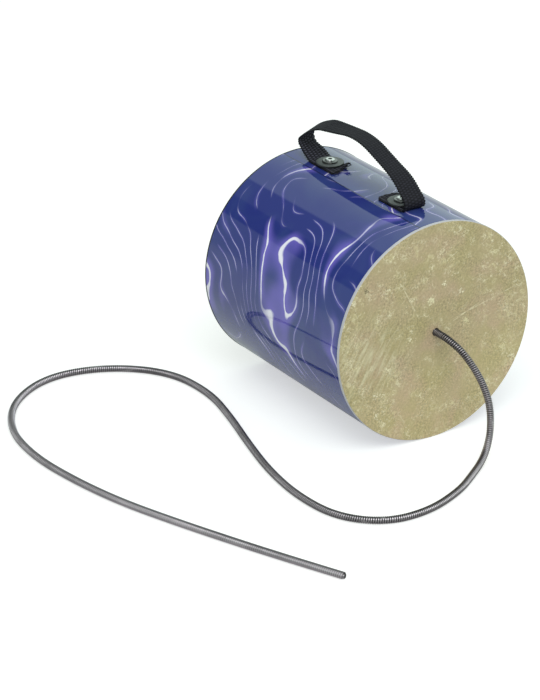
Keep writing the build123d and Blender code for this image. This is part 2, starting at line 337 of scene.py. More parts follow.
def add_piece(name, points, quads, material, body=None, nodes=(), uv=None, sharp=32):
    """Makes an object from whole arrays of points and quads, smooth but for edges past the sharp
    angle in degrees, ties it to its body when it has one, and hides the model's parts it stands for."""
    mesh = bpy.data.meshes.new(name)
    vertices = np.asarray(points, np.float32).reshape(-1, 3)
    corners = np.asarray(quads, np.int32)
    mesh.vertices.add(len(vertices))
    mesh.vertices.foreach_set("co", vertices.ravel())
    mesh.loops.add(corners.size)
    mesh.loops.foreach_set("vertex_index", corners.ravel())
    mesh.polygons.add(len(corners))
    mesh.polygons.foreach_set("loop_start", np.arange(0, corners.size, 4, dtype=np.int32))
    if uv is not None:
        layer = mesh.uv_layers.new(name="unrolled")
        layer.data.foreach_set("uv", np.asarray(uv, np.float32).ravel())
    mesh.update(calc_edges=True)
    mesh.shade_smooth()
    mesh.set_sharp_from_angle(angle=math.radians(sharp))
    mesh.materials.append(material)
    piece = bpy.data.objects.new(name, mesh)
    bpy.context.scene.collection.objects.link(piece)
    if body:
        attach(piece, body)
    if nodes:
        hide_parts(*nodes)
    return piece


def rounded_line(corners, radii, closed, steps=6):
    """A flat line through corners, with each one rounded by an arc that meets both its sides:
    point = arc start + radius * (sin a * along + (1 - cos a) * inward)."""
    corners = np.asarray(corners, float)
    count = len(corners)
    pieces = []
    for i, (corner, radius) in enumerate(zip(corners, radii)):
        at_end = not closed and i in (0, count - 1)
        if radius <= 0 or at_end:
            pieces.append(corner[None])
            continue
        before = corner - corners[i - 1]
        after = corners[(i + 1) % count] - corner
        along = before / np.linalg.norm(before)
        onward = after / np.linalg.norm(after)
        turn = math.acos(np.clip(along @ onward, -1, 1))
        inward = onward - (onward @ along) * along
        inward /= np.linalg.norm(inward)
        start = corner - radius * math.tan(turn / 2) * along
        a = np.linspace(0, turn, steps + 1)[:, None]
        pieces.append(start + radius * (np.sin(a) * along + (1 - np.cos(a)) * inward))
    return np.concatenate(pieces)


def revolved(profile, centre, upright, sides):
    """A closed profile of (radius, place along the axis) turned about an axis through centre:
    point = centre + along * axis + radius * (cos a * across + sin a * over).
    The axis is Z when upright and Y otherwise."""
    profile = np.asarray(profile, float)
    radius, along = profile.T
    area = np.sum(radius * np.roll(along, -1) - np.roll(radius, -1) * along)
    if area > 0:
        radius, along = radius[::-1], along[::-1]
    turn = np.linspace(0, 2 * np.pi, sides, endpoint=False)
    across = np.array([1.0, 0.0, 0.0])
    over = np.array([0.0, 1.0, 0.0]) if upright else np.array([0.0, 0.0, -1.0])
    axis = np.array([0.0, 0.0, 1.0]) if upright else np.array([0.0, 1.0, 0.0])
    ring = np.cos(turn)[:, None] * across + np.sin(turn)[:, None] * over
    points = np.asarray(centre) + along[:, None, None] * axis + radius[:, None, None] * ring
    return points, grid_quads(len(radius), sides, True, True)


def swept(path, normals, binormals, profile):
    """A closed profile carried along a path: point = path + p * normal + q * binormal.
    The profile is one row of (p, q) pairs, or one row for each point of the path."""
    p = profile[..., 0:1]
    q = profile[..., 1:2]
    points = path[:, None] + p * normals[:, None] + q * binormals[:, None]
    rows, columns = points.shape[:2]
    first = np.arange(columns)
    last = first + (rows - 1) * columns
    quads = [grid_quads(rows, columns, False, True), cap_quads(first[::-1]), cap_quads(last)]
    return points.reshape(-1, 3), np.concatenate(quads)


def joined(parts):
    """One set of points and quads from several."""
    starts = np.cumsum([0] + [len(points) for points, quads in parts[:-1]])
    points = np.concatenate([points for points, quads in parts])
    quads = np.concatenate([quads + start for (points, quads), start in zip(parts, starts)])
    return points, quads


def smoothstep(low, high, value):
    """0 below low, 1 above high, and 3t^2 - 2t^3 between them."""
    t = np.clip((value - low) / (high - low), 0, 1)
    return t * t * (3 - 2 * t)


# Materials

def add_node(tree, kind, inputs=None, **settings):
    """Adds a node with its settings, and gives each input a value or a link from an output. Inputs go
    by name or number: a Mix has its share at 0, numbers at 2 and 3 and colours at 6 and 7, and a Map
    Range has its value at 0, goes from 1 and 2, and to 3 and 4."""
    node = tree.nodes.new(kind)
    for name, value in settings.items():
        setattr(node, name, value)
    for socket, value in (inputs or {}).items():
        if isinstance(value, bpy.types.NodeSocket):
            tree.links.new(value, node.inputs[socket])
        else:
            node.inputs[socket].default_value = value
    return node


def start_material(name):
    """An empty node material with its surface shader, ready for inputs."""
    material = bpy.data.materials.new(name)
    material.use_nodes = True
    tree = material.node_tree
    tree.nodes.clear()
    shader = add_node(tree, "ShaderNodeBsdfPrincipled")
    add_node(tree, "ShaderNodeOutputMaterial", {"Surface": shader.outputs["BSDF"]})
    return material, tree, shader


def gloss_laminated_print(look):
    """Printed film under a clear gloss laminate: deep blue, with bent pale bands like agate that glow
    violet at their sides, under a sharp mirror that shows the strap, the spring and the floor."""
    material, tree, shader = start_material("gloss_laminated_print")
    girth = 2 * math.pi * wrap_high.x / MM
    length = (wrap_high.y - wrap_low.y) / MM
    uv = add_node(tree, "ShaderNodeUVMap", uv_map="unrolled")
    place = add_node(tree, "ShaderNodeMapping", {0: uv.outputs[0], "Scale": (girth, length, 1)})
    clouds = add_node(tree, "ShaderNodeTexNoise", {
        "Vector": place.outputs[0], "Scale": 1 / 46, "Detail": 3.0, "Distortion": 0.6},
        noise_dimensions="2D")
    cloud_share = add_node(tree, "ShaderNodeMapRange", {
        0: clouds.outputs[0], 1: 0.34, 2: 0.66}, interpolation_type="SMOOTHSTEP")
    colour = add_node(tree, "ShaderNodeMix", {
        0: cloud_share.outputs[0], 6: look.print_dark, 7: look.print_light}, data_type="RGBA")
    swell = add_node(tree, "ShaderNodeTexNoise", {
        "Vector": place.outputs[0], "Scale": 1 / 17, "Detail": 2.0}, noise_dimensions="2D")
    # Agate: bands run at an angle, and noise bends them by some of their own spacing
    spacing = 54
    turn = math.radians(68)
    across_bands = (math.cos(turn) / spacing, math.sin(turn) / spacing, 0)
    phase = add_node(tree, "ShaderNodeVectorMath", {
        0: place.outputs[0], 1: across_bands}, operation="DOT_PRODUCT")
    bends = add_node(tree, "ShaderNodeTexNoise", {
        "Vector": place.outputs[0], "Scale": 1 / 74, "Detail": 1.6, "Roughness": 0.4},
        noise_dimensions="2D")
    bent = add_node(tree, "ShaderNodeMath", {
        0: bends.outputs[0], 1: 2.4, 2: phase.outputs["Value"]}, operation="MULTIPLY_ADD")
    # Between the main veins lie finer ones along the same bands. All swell, thin out and fade in
    # places. Each has its share of the spacing, half its width and its glow's reach in millimetres, its
    # strength, and the length in millimetres over which it fades.
    veins = (
        (1 / 4, 0.35, 2.4, 0.6, 31),
        (1, 1.0, 8.0, 1.0, 47),
    )
    for share, half_line, halo, strength, fade_span in veins:
        level = add_node(tree, "ShaderNodeMath", {
            0: bent.outputs[0], 1: 1 / share}, operation="MULTIPLY")
        in_band = add_node(tree, "ShaderNodeMath", {0: level.outputs[0], 1: 0.5}, operation="PINGPONG")
        away = add_node(tree, "ShaderNodeMath", {
            0: in_band.outputs[0], 1: share * spacing}, operation="MULTIPLY")
        fade_noise = add_node(tree, "ShaderNodeTexNoise", {
            "Vector": place.outputs[0], "Scale": 1 / fade_span, "Detail": 1.0}, noise_dimensions="2D")
        fade = add_node(tree, "ShaderNodeMapRange", {
            0: fade_noise.outputs[0], 1: 0.40, 2: 0.60, 4: strength}, interpolation_type="SMOOTHSTEP")
        halo_share = add_node(tree, "ShaderNodeMapRange", {
            0: away.outputs[0], 1: 0.0, 2: halo, 3: 0.8, 4: 0.0}, interpolation_type="SMOOTHSTEP")
        halo_here = add_node(tree, "ShaderNodeMath", {
            0: halo_share.outputs[0], 1: fade.outputs[0]}, operation="MULTIPLY")
        colour = add_node(tree, "ShaderNodeMix", {
            0: halo_here.outputs[0], 6: colour.outputs[2], 7: look.glow}, data_type="RGBA")
        line = add_node(tree, "ShaderNodeMapRange", {
            0: swell.outputs[0], 1: 0.3, 2: 0.7, 3: 0.25 * half_line, 4: 1.9 * half_line})
        core = add_node(tree, "ShaderNodeMath", {
            0: away.outputs[0], 1: line.outputs[0]}, operation="DIVIDE")
        core_share = add_node(tree, "ShaderNodeMapRange", {
            0: core.outputs[0], 1: 0.35, 2: 1.0, 3: 1.0, 4: 0.0}, interpolation_type="SMOOTHSTEP")
        core_here = add_node(tree, "ShaderNodeMath", {
            0: core_share.outputs[0], 1: fade.outputs[0]}, operation="MULTIPLY")
        colour = add_node(tree, "ShaderNodeMix", {
            0: core_here.outputs[0], 6: colour.outputs[2], 7: look.vein}, data_type="RGBA")
    # A thin dark line of painted shadow runs along the film's free edge, where the film steps down onto
    # the tube
    flat = add_node(tree, "ShaderNodeSeparateXYZ", {0: place.outputs[0]})
    from_edge = add_node(tree, "ShaderNodeMath", {
        0: flat.outputs[0], 1: girth / 2}, operation="PINGPONG")
    seam_shadow = add_node(tree, "ShaderNodeMapRange", {
        0: from_edge.outputs[0], 1: 0.3, 2: 0.9, 3: 0.7, 4: 0.0})
    colour = add_node(tree, "ShaderNodeMix", {
        0: seam_shadow.outputs[0], 6: colour.outputs[2], 7: linear("#141833")}, data_type="RGBA")
    tree.links.new(colour.outputs[2], shader.inputs["Base Color"])
    # The film follows small unevenness of the wound tube, about 30 mm across
    waves = add_node(tree, "ShaderNodeTexNoise", {
        "Vector": place.outputs[0], "Scale": 1 / 30, "Detail": 1.0}, noise_dimensions="2D")
    bump = add_node(tree, "ShaderNodeBump", {
        "Height": waves.outputs[0], "Strength": 0.5, "Distance": 0.06 * MM})
    tree.links.new(bump.outputs[0], shader.inputs["Normal"])
    shader.inputs["Roughness"].default_value = 0.045
    shader.inputs["IOR"].default_value = 1.6
    return material


def wound_kraft_fibre(look):
    """Spiral-wound kraft paper: brown, matt, with fine fibres and the butt seams of its plies."""
    material, tree, shader = start_material("wound_kraft_fibre")
    girth = 2 * math.pi * shell_high.x / MM
    length = (shell_high.y - shell_low.y) / MM
    uv = add_node(tree, "ShaderNodeUVMap", uv_map="unrolled")
    place = add_node(tree, "ShaderNodeMapping", {0: uv.outputs[0], "Scale": (girth, length, 1)})
    # Seams of a 90 mm ply, wound at 30 degrees: lines across the unrolled tube
    lean = add_node(tree, "ShaderNodeMapping", {
        0: place.outputs[0], "Rotation": (0, 0, math.radians(30)), "Scale": (1 / 90, 1 / 90, 1)})
    across = add_node(tree, "ShaderNodeSeparateXYZ", {0: lean.outputs[0]})
    in_ply = add_node(tree, "ShaderNodeMath", {0: across.outputs[1], 1: 0.5}, operation="PINGPONG")
    seam = add_node(tree, "ShaderNodeMapRange", {
        0: in_ply.outputs[0], 1: 0.003, 2: 0.012, 3: 1.0, 4: 0.0})
    fibres = add_node(tree, "ShaderNodeMapping", {
        0: place.outputs[0], "Rotation": (0, 0, math.radians(30)), "Scale": (1 / 6, 1 / 0.7, 1)})
    strands = add_node(tree, "ShaderNodeTexNoise", {
        "Vector": fibres.outputs[0], "Scale": 1.0, "Detail": 4.0}, noise_dimensions="2D")
    tone = add_node(tree, "ShaderNodeMapRange", {
        0: strands.outputs[0], 1: 0.25, 2: 0.75, 3: 0.72, 4: 1.18})
    paper = add_node(tree, "ShaderNodeMix", {
        0: 1.0, 6: look.kraft, 7: tone.outputs[0]}, data_type="RGBA", blend_type="MULTIPLY")
    colour = add_node(tree, "ShaderNodeMix", {
        0: seam.outputs[0], 6: paper.outputs[2], 7: linear("#4A3522")}, data_type="RGBA")
    tree.links.new(colour.outputs[2], shader.inputs["Base Color"])
    height = add_node(tree, "ShaderNodeMath", {
        0: strands.outputs[0], 1: seam.outputs[0]}, operation="SUBTRACT")
    bump = add_node(tree, "ShaderNodeBump", {
        "Height": height.outputs[0], "Strength": 0.6, "Distance": 0.15 * MM})
    tree.links.new(bump.outputs[0], shader.inputs["Normal"])
    shader.inputs["Roughness"].default_value = 0.82
    return material


def moulded_plastic(name, colour, roughness):
    """Moulded polystyrene: one even colour, a soft sheen and a faint spark-eroded grain."""
    material, tree, shader = start_material(name)
    place = add_node(tree, "ShaderNodeTexCoord")
    grain = add_node(tree, "ShaderNodeTexNoise", {
        "Vector": place.outputs["Object"], "Scale": 1 / (0.6 * MM), "Detail": 2.0})
    cloud = add_node(tree, "ShaderNodeTexNoise", {
        "Vector": place.outputs["Object"], "Scale": 1 / (22 * MM), "Detail": 2.0})
    tone = add_node(tree, "ShaderNodeMapRange", {0: cloud.outputs[0], 1: 0.3, 2: 0.7, 3: 0.93, 4: 1.05})
    shade = add_node(tree, "ShaderNodeMix", {
        0: 1.0, 6: colour, 7: tone.outputs[0]}, data_type="RGBA", blend_type="MULTIPLY")
    tree.links.new(shade.outputs[2], shader.inputs["Base Color"])
    bump = add_node(tree, "ShaderNodeBump", {
        "Height": grain.outputs[0], "Strength": 0.35, "Distance": 0.03 * MM})
    tree.links.new(bump.outputs[0], shader.inputs["Normal"])
    shader.inputs["Roughness"].default_value = roughness
    shader.inputs["IOR"].default_value = 1.58
    return material


def mottled_drum_film(look):
    """Coated polyester drum film that imitates hide: satin, olive to tan, with a fine grain, painted
    highlights on slanting folds on one side, pale fibres and painted highlights on fine crinkles, pale
    flecks in drifts, a few straight creases, and painted light from the floor low down."""
    material, tree, shader = start_material("mottled_drum_film")
    coordinates = add_node(tree, "ShaderNodeTexCoord")
    place = add_node(tree, "ShaderNodeMapping", {
        0: coordinates.outputs["Object"], "Scale": (1 / MM, 0.0, 1 / MM)})
    # A second place in the noises, so that two patterns of one size don't share their clouds
    aside = add_node(tree, "ShaderNodeMapping", {0: place.outputs[0], "Location": (300, 0, 120)})
    drift = add_node(tree, "ShaderNodeTexNoise", {
        "Vector": place.outputs[0], "Scale": 1 / 30, "Detail": 4.0})
    drift_share = add_node(tree, "ShaderNodeMapRange", {
        0: drift.outputs[0], 1: 0.36, 2: 0.64}, interpolation_type="SMOOTHSTEP")
    colour = add_node(tree, "ShaderNodeMix", {
        0: drift_share.outputs[0], 6: look.film_green, 7: look.film}, data_type="RGBA")
    warm = add_node(tree, "ShaderNodeTexNoise", {
        "Vector": aside.outputs[0], "Scale": 1 / 24, "Detail": 3.0})
    warm_share = add_node(tree, "ShaderNodeMapRange", {
        0: warm.outputs[0], 1: 0.46, 2: 0.68, 4: 0.8}, interpolation_type="SMOOTHSTEP")
    colour = add_node(tree, "ShaderNodeMix", {
        0: warm_share.outputs[0], 6: colour.outputs[2], 7: look.film_tan}, data_type="RGBA")
    # The film is painted a little paler low down and to the right: painted light in place of light
    # bounced from the floor
    lowness = add_node(tree, "ShaderNodeVectorMath", {
        0: place.outputs[0], 1: (0.25, 0, -0.9)}, operation="DOT_PRODUCT")
    painted_bounce = add_node(tree, "ShaderNodeMapRange", {
        0: lowness.outputs["Value"], 1: -74, 2: -24, 3: 1.0, 4: 1.16}, interpolation_type="SMOOTHSTEP")
    colour = add_node(tree, "ShaderNodeMix", {
        0: 1.0, 6: colour.outputs[2], 7: painted_bounce.outputs[0]}, data_type="RGBA", blend_type="MULTIPLY")
    # Grain about 1.4 mm across, twice as coarse as the real one so that it shows
    grain = add_node(tree, "ShaderNodeTexNoise", {
        "Vector": place.outputs[0], "Scale": 1 / 1.4, "Detail": 3.0, "Roughness": 0.7})
    tone = add_node(tree, "ShaderNodeMapRange", {
        0: grain.outputs[0], 1: 0.28, 2: 0.72, 3: 0.57, 4: 1.3})
    emphasis = add_node(tree, "ShaderNodeTexNoise", {
        "Vector": aside.outputs[0], "Scale": 1 / 22, "Detail": 2.0})
    grain_share = add_node(tree, "ShaderNodeMapRange", {
        0: emphasis.outputs[0], 1: 0.38, 2: 0.62, 3: 0.45, 4: 1.15}, interpolation_type="SMOOTHSTEP")
    colour = add_node(tree, "ShaderNodeMix", {
        0: grain_share.outputs[0], 6: colour.outputs[2], 7: tone.outputs[0]}, data_type="RGBA",
        blend_type="MULTIPLY", clamp_factor=False)
    # Painted highlights on the ridges of folds about 2.4 mm wide and 13 mm long slant across one side of
    # the head, and fade beyond it
    slant = add_node(tree, "ShaderNodeMapping", {
        0: aside.outputs[0], "Rotation": (0, math.radians(-32), 0)})
    drawn = add_node(tree, "ShaderNodeMapping", {0: slant.outputs[0], "Scale": (1 / 2.4, 1, 1 / 13)})
    fold = add_node(tree, "ShaderNodeTexNoise", {
        "Vector": drawn.outputs[0], "Scale": 1.0, "Detail": 2.0, "Distortion": 0.5})
    from_side = add_node(tree, "ShaderNodeVectorMath", {
        0: place.outputs[0], 1: (-54, 0, 68)}, operation="DISTANCE")
    on_side = add_node(tree, "ShaderNodeMapRange", {
        0: from_side.outputs["Value"], 1: 6, 2: 42, 3: 1.0, 4: 0.1}, interpolation_type="SMOOTHSTEP")
    ridge = add_node(tree, "ShaderNodeMapRange", {0: fold.outputs[0], 1: 0.42, 2: 0.72, 4: 0.75})
    folded = add_node(tree, "ShaderNodeMath", {
        0: ridge.outputs[0], 1: on_side.outputs[0]}, operation="MULTIPLY")
    colour = add_node(tree, "ShaderNodeMix", {
        0: folded.outputs[0], 6: colour.outputs[2], 7: linear("#E0D8B4")}, data_type="RGBA")
    # Flecks gather in drifts about 16 mm across, more of them towards the rim: soft yellow ones first,
    # and then small bright ones among them
    gather = add_node(tree, "ShaderNodeTexNoise", {
        "Vector": aside.outputs[0], "Scale": 1 / 16, "Detail": 3.0})
    from_middle = add_node(tree, "ShaderNodeVectorMath", {
        0: place.outputs[0], 1: (0, 0, AXIS_HEIGHT / MM)}, operation="DISTANCE")
    outward = add_node(tree, "ShaderNodeMapRange", {
        0: from_middle.outputs["Value"], 1: 15, 2: 62, 3: -0.05, 4: 0.06})
    gathered = add_node(tree, "ShaderNodeMath", {
        0: gather.outputs[0], 1: outward.outputs[0]}, operation="ADD")
    gather_share = add_node(tree, "ShaderNodeMapRange", {
        0: gathered.outputs[0], 1: 0.46, 2: 0.64, 3: 0.04, 4: 1.0}, interpolation_type="SMOOTHSTEP")
    for size, threshold, tint, strength in (
            (4.4, 0.50, look.fleck_soft, 0.8), (2.2, 0.56, look.fleck, 1.0)):
        specks = add_node(tree, "ShaderNodeTexNoise", {
            "Vector": aside.outputs[0], "Scale": 1 / size,
            "Detail": 3.0, "Roughness": 0.65, "Distortion": 1.4})
        share = add_node(tree, "ShaderNodeMapRange", {
            0: specks.outputs[0], 1: threshold, 2: threshold + 0.18, 4: strength})
        pale = add_node(tree, "ShaderNodeMath", {
            0: share.outputs[0], 1: gather_share.outputs[0]}, operation="MULTIPLY")
        colour = add_node(tree, "ShaderNodeMix", {
            0: pale.outputs[0], 6: colour.outputs[2], 7: tint}, data_type="RGBA")
    # Fine crinkles and fibres: pale winding lines where a noise crosses its middle, broken up by a
    # second noise,
    #     partly the film's own fibres and partly painted highlights on its crinkles. They gather where
    #     the flecks do.
    wisps = add_node(tree, "ShaderNodeMapRange", {
        0: gathered.outputs[0], 1: 0.42, 2: 0.62, 3: 0.45, 4: 1.25})
    for size, width, gap in ((13, 0.022, 0.50), (6, 0.028, 0.60)):
        winding = add_node(tree, "ShaderNodeTexNoise", {
            "Vector": aside.outputs[0], "Scale": 1 / size,
            "Detail": 4.0, "Roughness": 0.7, "Distortion": 0.3})
        off = add_node(tree, "ShaderNodeMath", {0: winding.outputs[0], 1: 0.5}, operation="SUBTRACT")
        off = add_node(tree, "ShaderNodeMath", {0: off.outputs[0]}, operation="ABSOLUTE")
        line = add_node(tree, "ShaderNodeMapRange", {
            0: off.outputs[0], 1: 0.2 * width, 2: width, 3: 0.8, 4: 0.0})
        breaks = add_node(tree, "ShaderNodeTexNoise", {
            "Vector": place.outputs[0], "Scale": 1 / (0.6 * size), "Detail": 2.0})
        kept = add_node(tree, "ShaderNodeMapRange", {0: breaks.outputs[0], 1: gap, 2: gap + 0.16})
        line = add_node(tree, "ShaderNodeMath", {
            0: line.outputs[0], 1: kept.outputs[0]}, operation="MULTIPLY")
        line = add_node(tree, "ShaderNodeMath", {
            0: line.outputs[0], 1: wisps.outputs[0]}, operation="MULTIPLY")
        colour = add_node(tree, "ShaderNodeMix", {
            0: line.outputs[0], 6: colour.outputs[2], 7: look.fleck}, data_type="RGBA")
    # A few flecks stand out, each a cluster torn at its edges, and one nick near the rim is dark. The
    # noise that tears them is 0.5 on average, so half its reach is added to a mark's place.
    tear_reach = 12
    tear = add_node(tree, "ShaderNodeTexNoise", {
        "Vector": place.outputs[0], "Scale": 1 / 1.5, "Detail": 3.0})
    torn = add_node(tree, "ShaderNodeVectorMath", {
        0: tear.outputs["Color"], 1: (tear_reach, 0, tear_reach), 2: place.outputs[0]},
        operation="MULTIPLY_ADD")
    for x, height, size, tint in HEAD_MARKS:
        middle = (x + tear_reach / 2, 0, height + tear_reach / 2)
        away = add_node(tree, "ShaderNodeVectorMath", {
            0: torn.outputs[0], 1: middle}, operation="DISTANCE")
        mark = add_node(tree, "ShaderNodeMapRange", {
            0: away.outputs["Value"], 1: 0.3 * size, 2: size, 3: 0.9, 4: 0.0})
        colour = add_node(tree, "ShaderNodeMix", {
            0: mark.outputs[0], 6: colour.outputs[2], 7: linear(tint)}, data_type="RGBA")
    # Straight creases: angle from level in degrees, then in millimetres from the middle the distance
    # across it and where it starts and ends
    scratch = add_node(tree, "ShaderNodeTexNoise", {
        "Vector": aside.outputs[0], "Scale": 1 / 4, "Detail": 2.0})
    broken = add_node(tree, "ShaderNodeMapRange", {
        0: scratch.outputs[0], 1: 0.38, 2: 0.58, 3: 0.12, 4: 0.6})
    centred = add_node(tree, "ShaderNodeVectorMath", {
        0: place.outputs[0], 1: (0, 0, AXIS_HEIGHT / MM)}, operation="SUBTRACT")
    creases = (
        (12.9, 2.6, 12, 73),
        (21, -1.0, 12, 40),
        (118, 6.0, 14, 50),
    )
    for angle, across, start, end in creases:
        turn = math.radians(angle)
        height = add_node(tree, "ShaderNodeVectorMath", {
            0: centred.outputs[0], 1: (-math.sin(turn), 0, math.cos(turn))}, operation="DOT_PRODUCT")
        away = add_node(tree, "ShaderNodeMath", {
            0: height.outputs["Value"], 1: across}, operation="SUBTRACT")
        away = add_node(tree, "ShaderNodeMath", {0: away.outputs[0]}, operation="ABSOLUTE")
        crease = add_node(tree, "ShaderNodeMapRange", {
            0: away.outputs[0], 1: 0.1, 2: 0.5, 3: 1.0, 4: 0.0})
        along = add_node(tree, "ShaderNodeVectorMath", {
            0: centred.outputs[0], 1: (math.cos(turn), 0, math.sin(turn))}, operation="DOT_PRODUCT")
        away = add_node(tree, "ShaderNodeMath", {
            0: along.outputs["Value"], 1: (start + end) / 2}, operation="SUBTRACT")
        away = add_node(tree, "ShaderNodeMath", {0: away.outputs[0]}, operation="ABSOLUTE")
        here = add_node(tree, "ShaderNodeMapRange", {
            0: away.outputs[0], 1: 0.3 * (end - start), 2: 0.5 * (end - start), 3: 1.0, 4: 0.0})
        crease = add_node(tree, "ShaderNodeMath", {
            0: crease.outputs[0], 1: here.outputs[0]}, operation="MULTIPLY")
        crease = add_node(tree, "ShaderNodeMath", {
            0: crease.outputs[0], 1: broken.outputs[0]}, operation="MULTIPLY")
        colour = add_node(tree, "ShaderNodeMix", {
            0: crease.outputs[0], 6: colour.outputs[2], 7: look.fleck}, data_type="RGBA")
    tree.links.new(colour.outputs[2], shader.inputs["Base Color"])
    height = add_node(tree, "ShaderNodeMath", {
        0: grain.outputs[0], 1: 0.7, 2: pale.outputs[0]}, operation="MULTIPLY_ADD")
    bump = add_node(tree, "ShaderNodeBump", {
        "Height": height.outputs[0], "Strength": 0.5, "Distance": 0.16 * MM})
    tree.links.new(bump.outputs[0], shader.inputs["Normal"])
    shader.inputs["Roughness"].default_value = 0.5
    shader.inputs["IOR"].default_value = 1.5
    return material


def pressed_fibre(look):
    """Pressed fibre board: dark brown, matt and a little fuzzy."""
    material, tree, shader = start_material("pressed_fibre")
    place = add_node(tree, "ShaderNodeTexCoord")
    fuzz = add_node(tree, "ShaderNodeTexNoise", {
        "Vector": place.outputs["Object"], "Scale": 1 / (0.8 * MM), "Detail": 4.0})
    tone = add_node(tree, "ShaderNodeMapRange", {0: fuzz.outputs[0], 1: 0.3, 2: 0.7, 3: 0.7, 4: 1.3})
    shade = add_node(tree, "ShaderNodeMix", {
        0: 1.0, 6: look.fibre, 7: tone.outputs[0]}, data_type="RGBA", blend_type="MULTIPLY")
    tree.links.new(shade.outputs[2], shader.inputs["Base Color"])
    bump = add_node(tree, "ShaderNodeBump", {
        "Height": fuzz.outputs[0], "Strength": 0.5, "Distance": 0.1 * MM})
    tree.links.new(bump.outputs[0], shader.inputs["Normal"])
    shader.inputs["Roughness"].default_value = 0.85
    return material


def worked_metal(
        name, colour, roughness, spread, grit, depth, side_shade=1.0, shaded_below=None, painted_light=False):
    """Metal with a handled surface: its gloss and tone change in small clouds, and a fine grit breaks
    up the mirror. The grit has a size in metres, and a depth as a share of it. Faces that look sideways
    get painted shade, and so does all below a height, as painted shade in recesses and under a dome.
    A piece with painted light brings its own painted light and shade as an attribute."""
    material, tree, shader = start_material(name)
    place = add_node(tree, "ShaderNodeTexCoord")
    cloud = add_node(tree, "ShaderNodeTexNoise", {
        "Vector": place.outputs["Object"], "Scale": 1 / (12 * grit), "Detail": 4.0})
    tone = add_node(tree, "ShaderNodeMapRange", {0: cloud.outputs[0], 1: 0.3, 2: 0.7, 3: 0.82, 4: 1.12})
    # Painted shade on faces that look sideways
    facing = add_node(tree, "ShaderNodeNewGeometry")
    upward = add_node(tree, "ShaderNodeSeparateXYZ", {0: facing.outputs["Normal"]})
    side = add_node(tree, "ShaderNodeMapRange", {
        0: upward.outputs[2], 1: 0.3, 2: 0.9, 3: side_shade, 4: 1.0})
    tone = add_node(tree, "ShaderNodeMath", {
        0: tone.outputs[0], 1: side.outputs[0]}, operation="MULTIPLY")
    # Painted shade on all below the given height
    if shaded_below is not None:
        high = add_node(tree, "ShaderNodeSeparateXYZ", {0: place.outputs["Object"]})
        lowered = add_node(tree, "ShaderNodeMapRange", {
            0: high.outputs[2], 1: shaded_below + 0.05 * MM, 2: shaded_below + 0.4 * MM, 3: 0.3, 4: 1.0})
        tone = add_node(tree, "ShaderNodeMath", {
            0: tone.outputs[0], 1: lowered.outputs[0]}, operation="MULTIPLY")
    # The piece's own painted light and shade, from its attribute named tone
    if painted_light:
        own = add_node(tree, "ShaderNodeAttribute", attribute_name="tone")
        tone = add_node(tree, "ShaderNodeMath", {
            0: tone.outputs[0], 1: own.outputs["Fac"]}, operation="MULTIPLY")
    shade = add_node(tree, "ShaderNodeMix", {
        0: 1.0, 6: colour, 7: tone.outputs[0]}, data_type="RGBA", blend_type="MULTIPLY")
    tree.links.new(shade.outputs[2], shader.inputs["Base Color"])
    gloss = add_node(tree, "ShaderNodeMapRange", {
        0: cloud.outputs[0], 1: 0.3, 2: 0.7, 3: roughness - spread, 4: roughness + spread})
    tree.links.new(gloss.outputs[0], shader.inputs["Roughness"])
    pits = add_node(tree, "ShaderNodeTexNoise", {
        "Vector": place.outputs["Object"], "Scale": 1 / grit, "Detail": 2.0})
    bump = add_node(tree, "ShaderNodeBump", {
        "Height": pits.outputs[0], "Strength": 0.3, "Distance": depth * grit})
    tree.links.new(bump.outputs[0], shader.inputs["Normal"])
    shader.inputs["Metallic"].default_value = 1.0
    return material


# Zinc plating of the ferrule, the inner washers and the mandrels: fairly bright, with a fine grit
BRIGHT_PLATING = {"roughness": 0.34, "spread": 0.08, "grit": 0.5 * MM, "depth": 0.05}


def woven_nylon(look):
    """Woven nylon webbing: black filament yarn with a faint sheen, and painted highlights on the crowns
    of its ribs.
    """
    material, tree, shader = start_material("woven_nylon")
    uv = add_node(tree, "ShaderNodeUVMap", uv_map="unrolled")
    # The map is in millimetres: strands 0.25 mm wide run along the strap, coarser than the real
    # filaments so that they show
    strands = add_node(tree, "ShaderNodeMapping", {0: uv.outputs[0], "Scale": (1 / 3.0, 1 / 0.25, 1)})
    yarn = add_node(tree, "ShaderNodeTexNoise", {
        "Vector": strands.outputs[0], "Scale": 1.0, "Detail": 2.0}, noise_dimensions="2D")
    # The crown attribute brings painted highlights on the crowns of the ribs
    crown = add_node(tree, "ShaderNodeAttribute", attribute_name="crown")
    emphasis = add_node(tree, "ShaderNodeMath", {
        0: crown.outputs["Fac"], 1: yarn.outputs[0]}, operation="MULTIPLY")
    tone = add_node(tree, "ShaderNodeMapRange", {0: emphasis.outputs[0], 1: 0.0, 2: 1.4, 3: 0.08, 4: 6.0})
    shade = add_node(tree, "ShaderNodeMix", {
        0: 1.0, 6: look.nylon, 7: tone.outputs[0]}, data_type="RGBA", blend_type="MULTIPLY")
    tree.links.new(shade.outputs[2], shader.inputs["Base Color"])
    bump = add_node(tree, "ShaderNodeBump", {
        "Height": yarn.outputs[0], "Strength": 0.5, "Distance": 0.08 * MM})
    tree.links.new(bump.outputs[0], shader.inputs["Normal"])
    shader.inputs["Roughness"].default_value = 0.7
    # Light that enters between the filaments is lost, so little of it comes back as gloss
    shader.inputs["Specular IOR Level"].default_value = 0.15
    return material


# Operators, one for each piece or group of like pieces

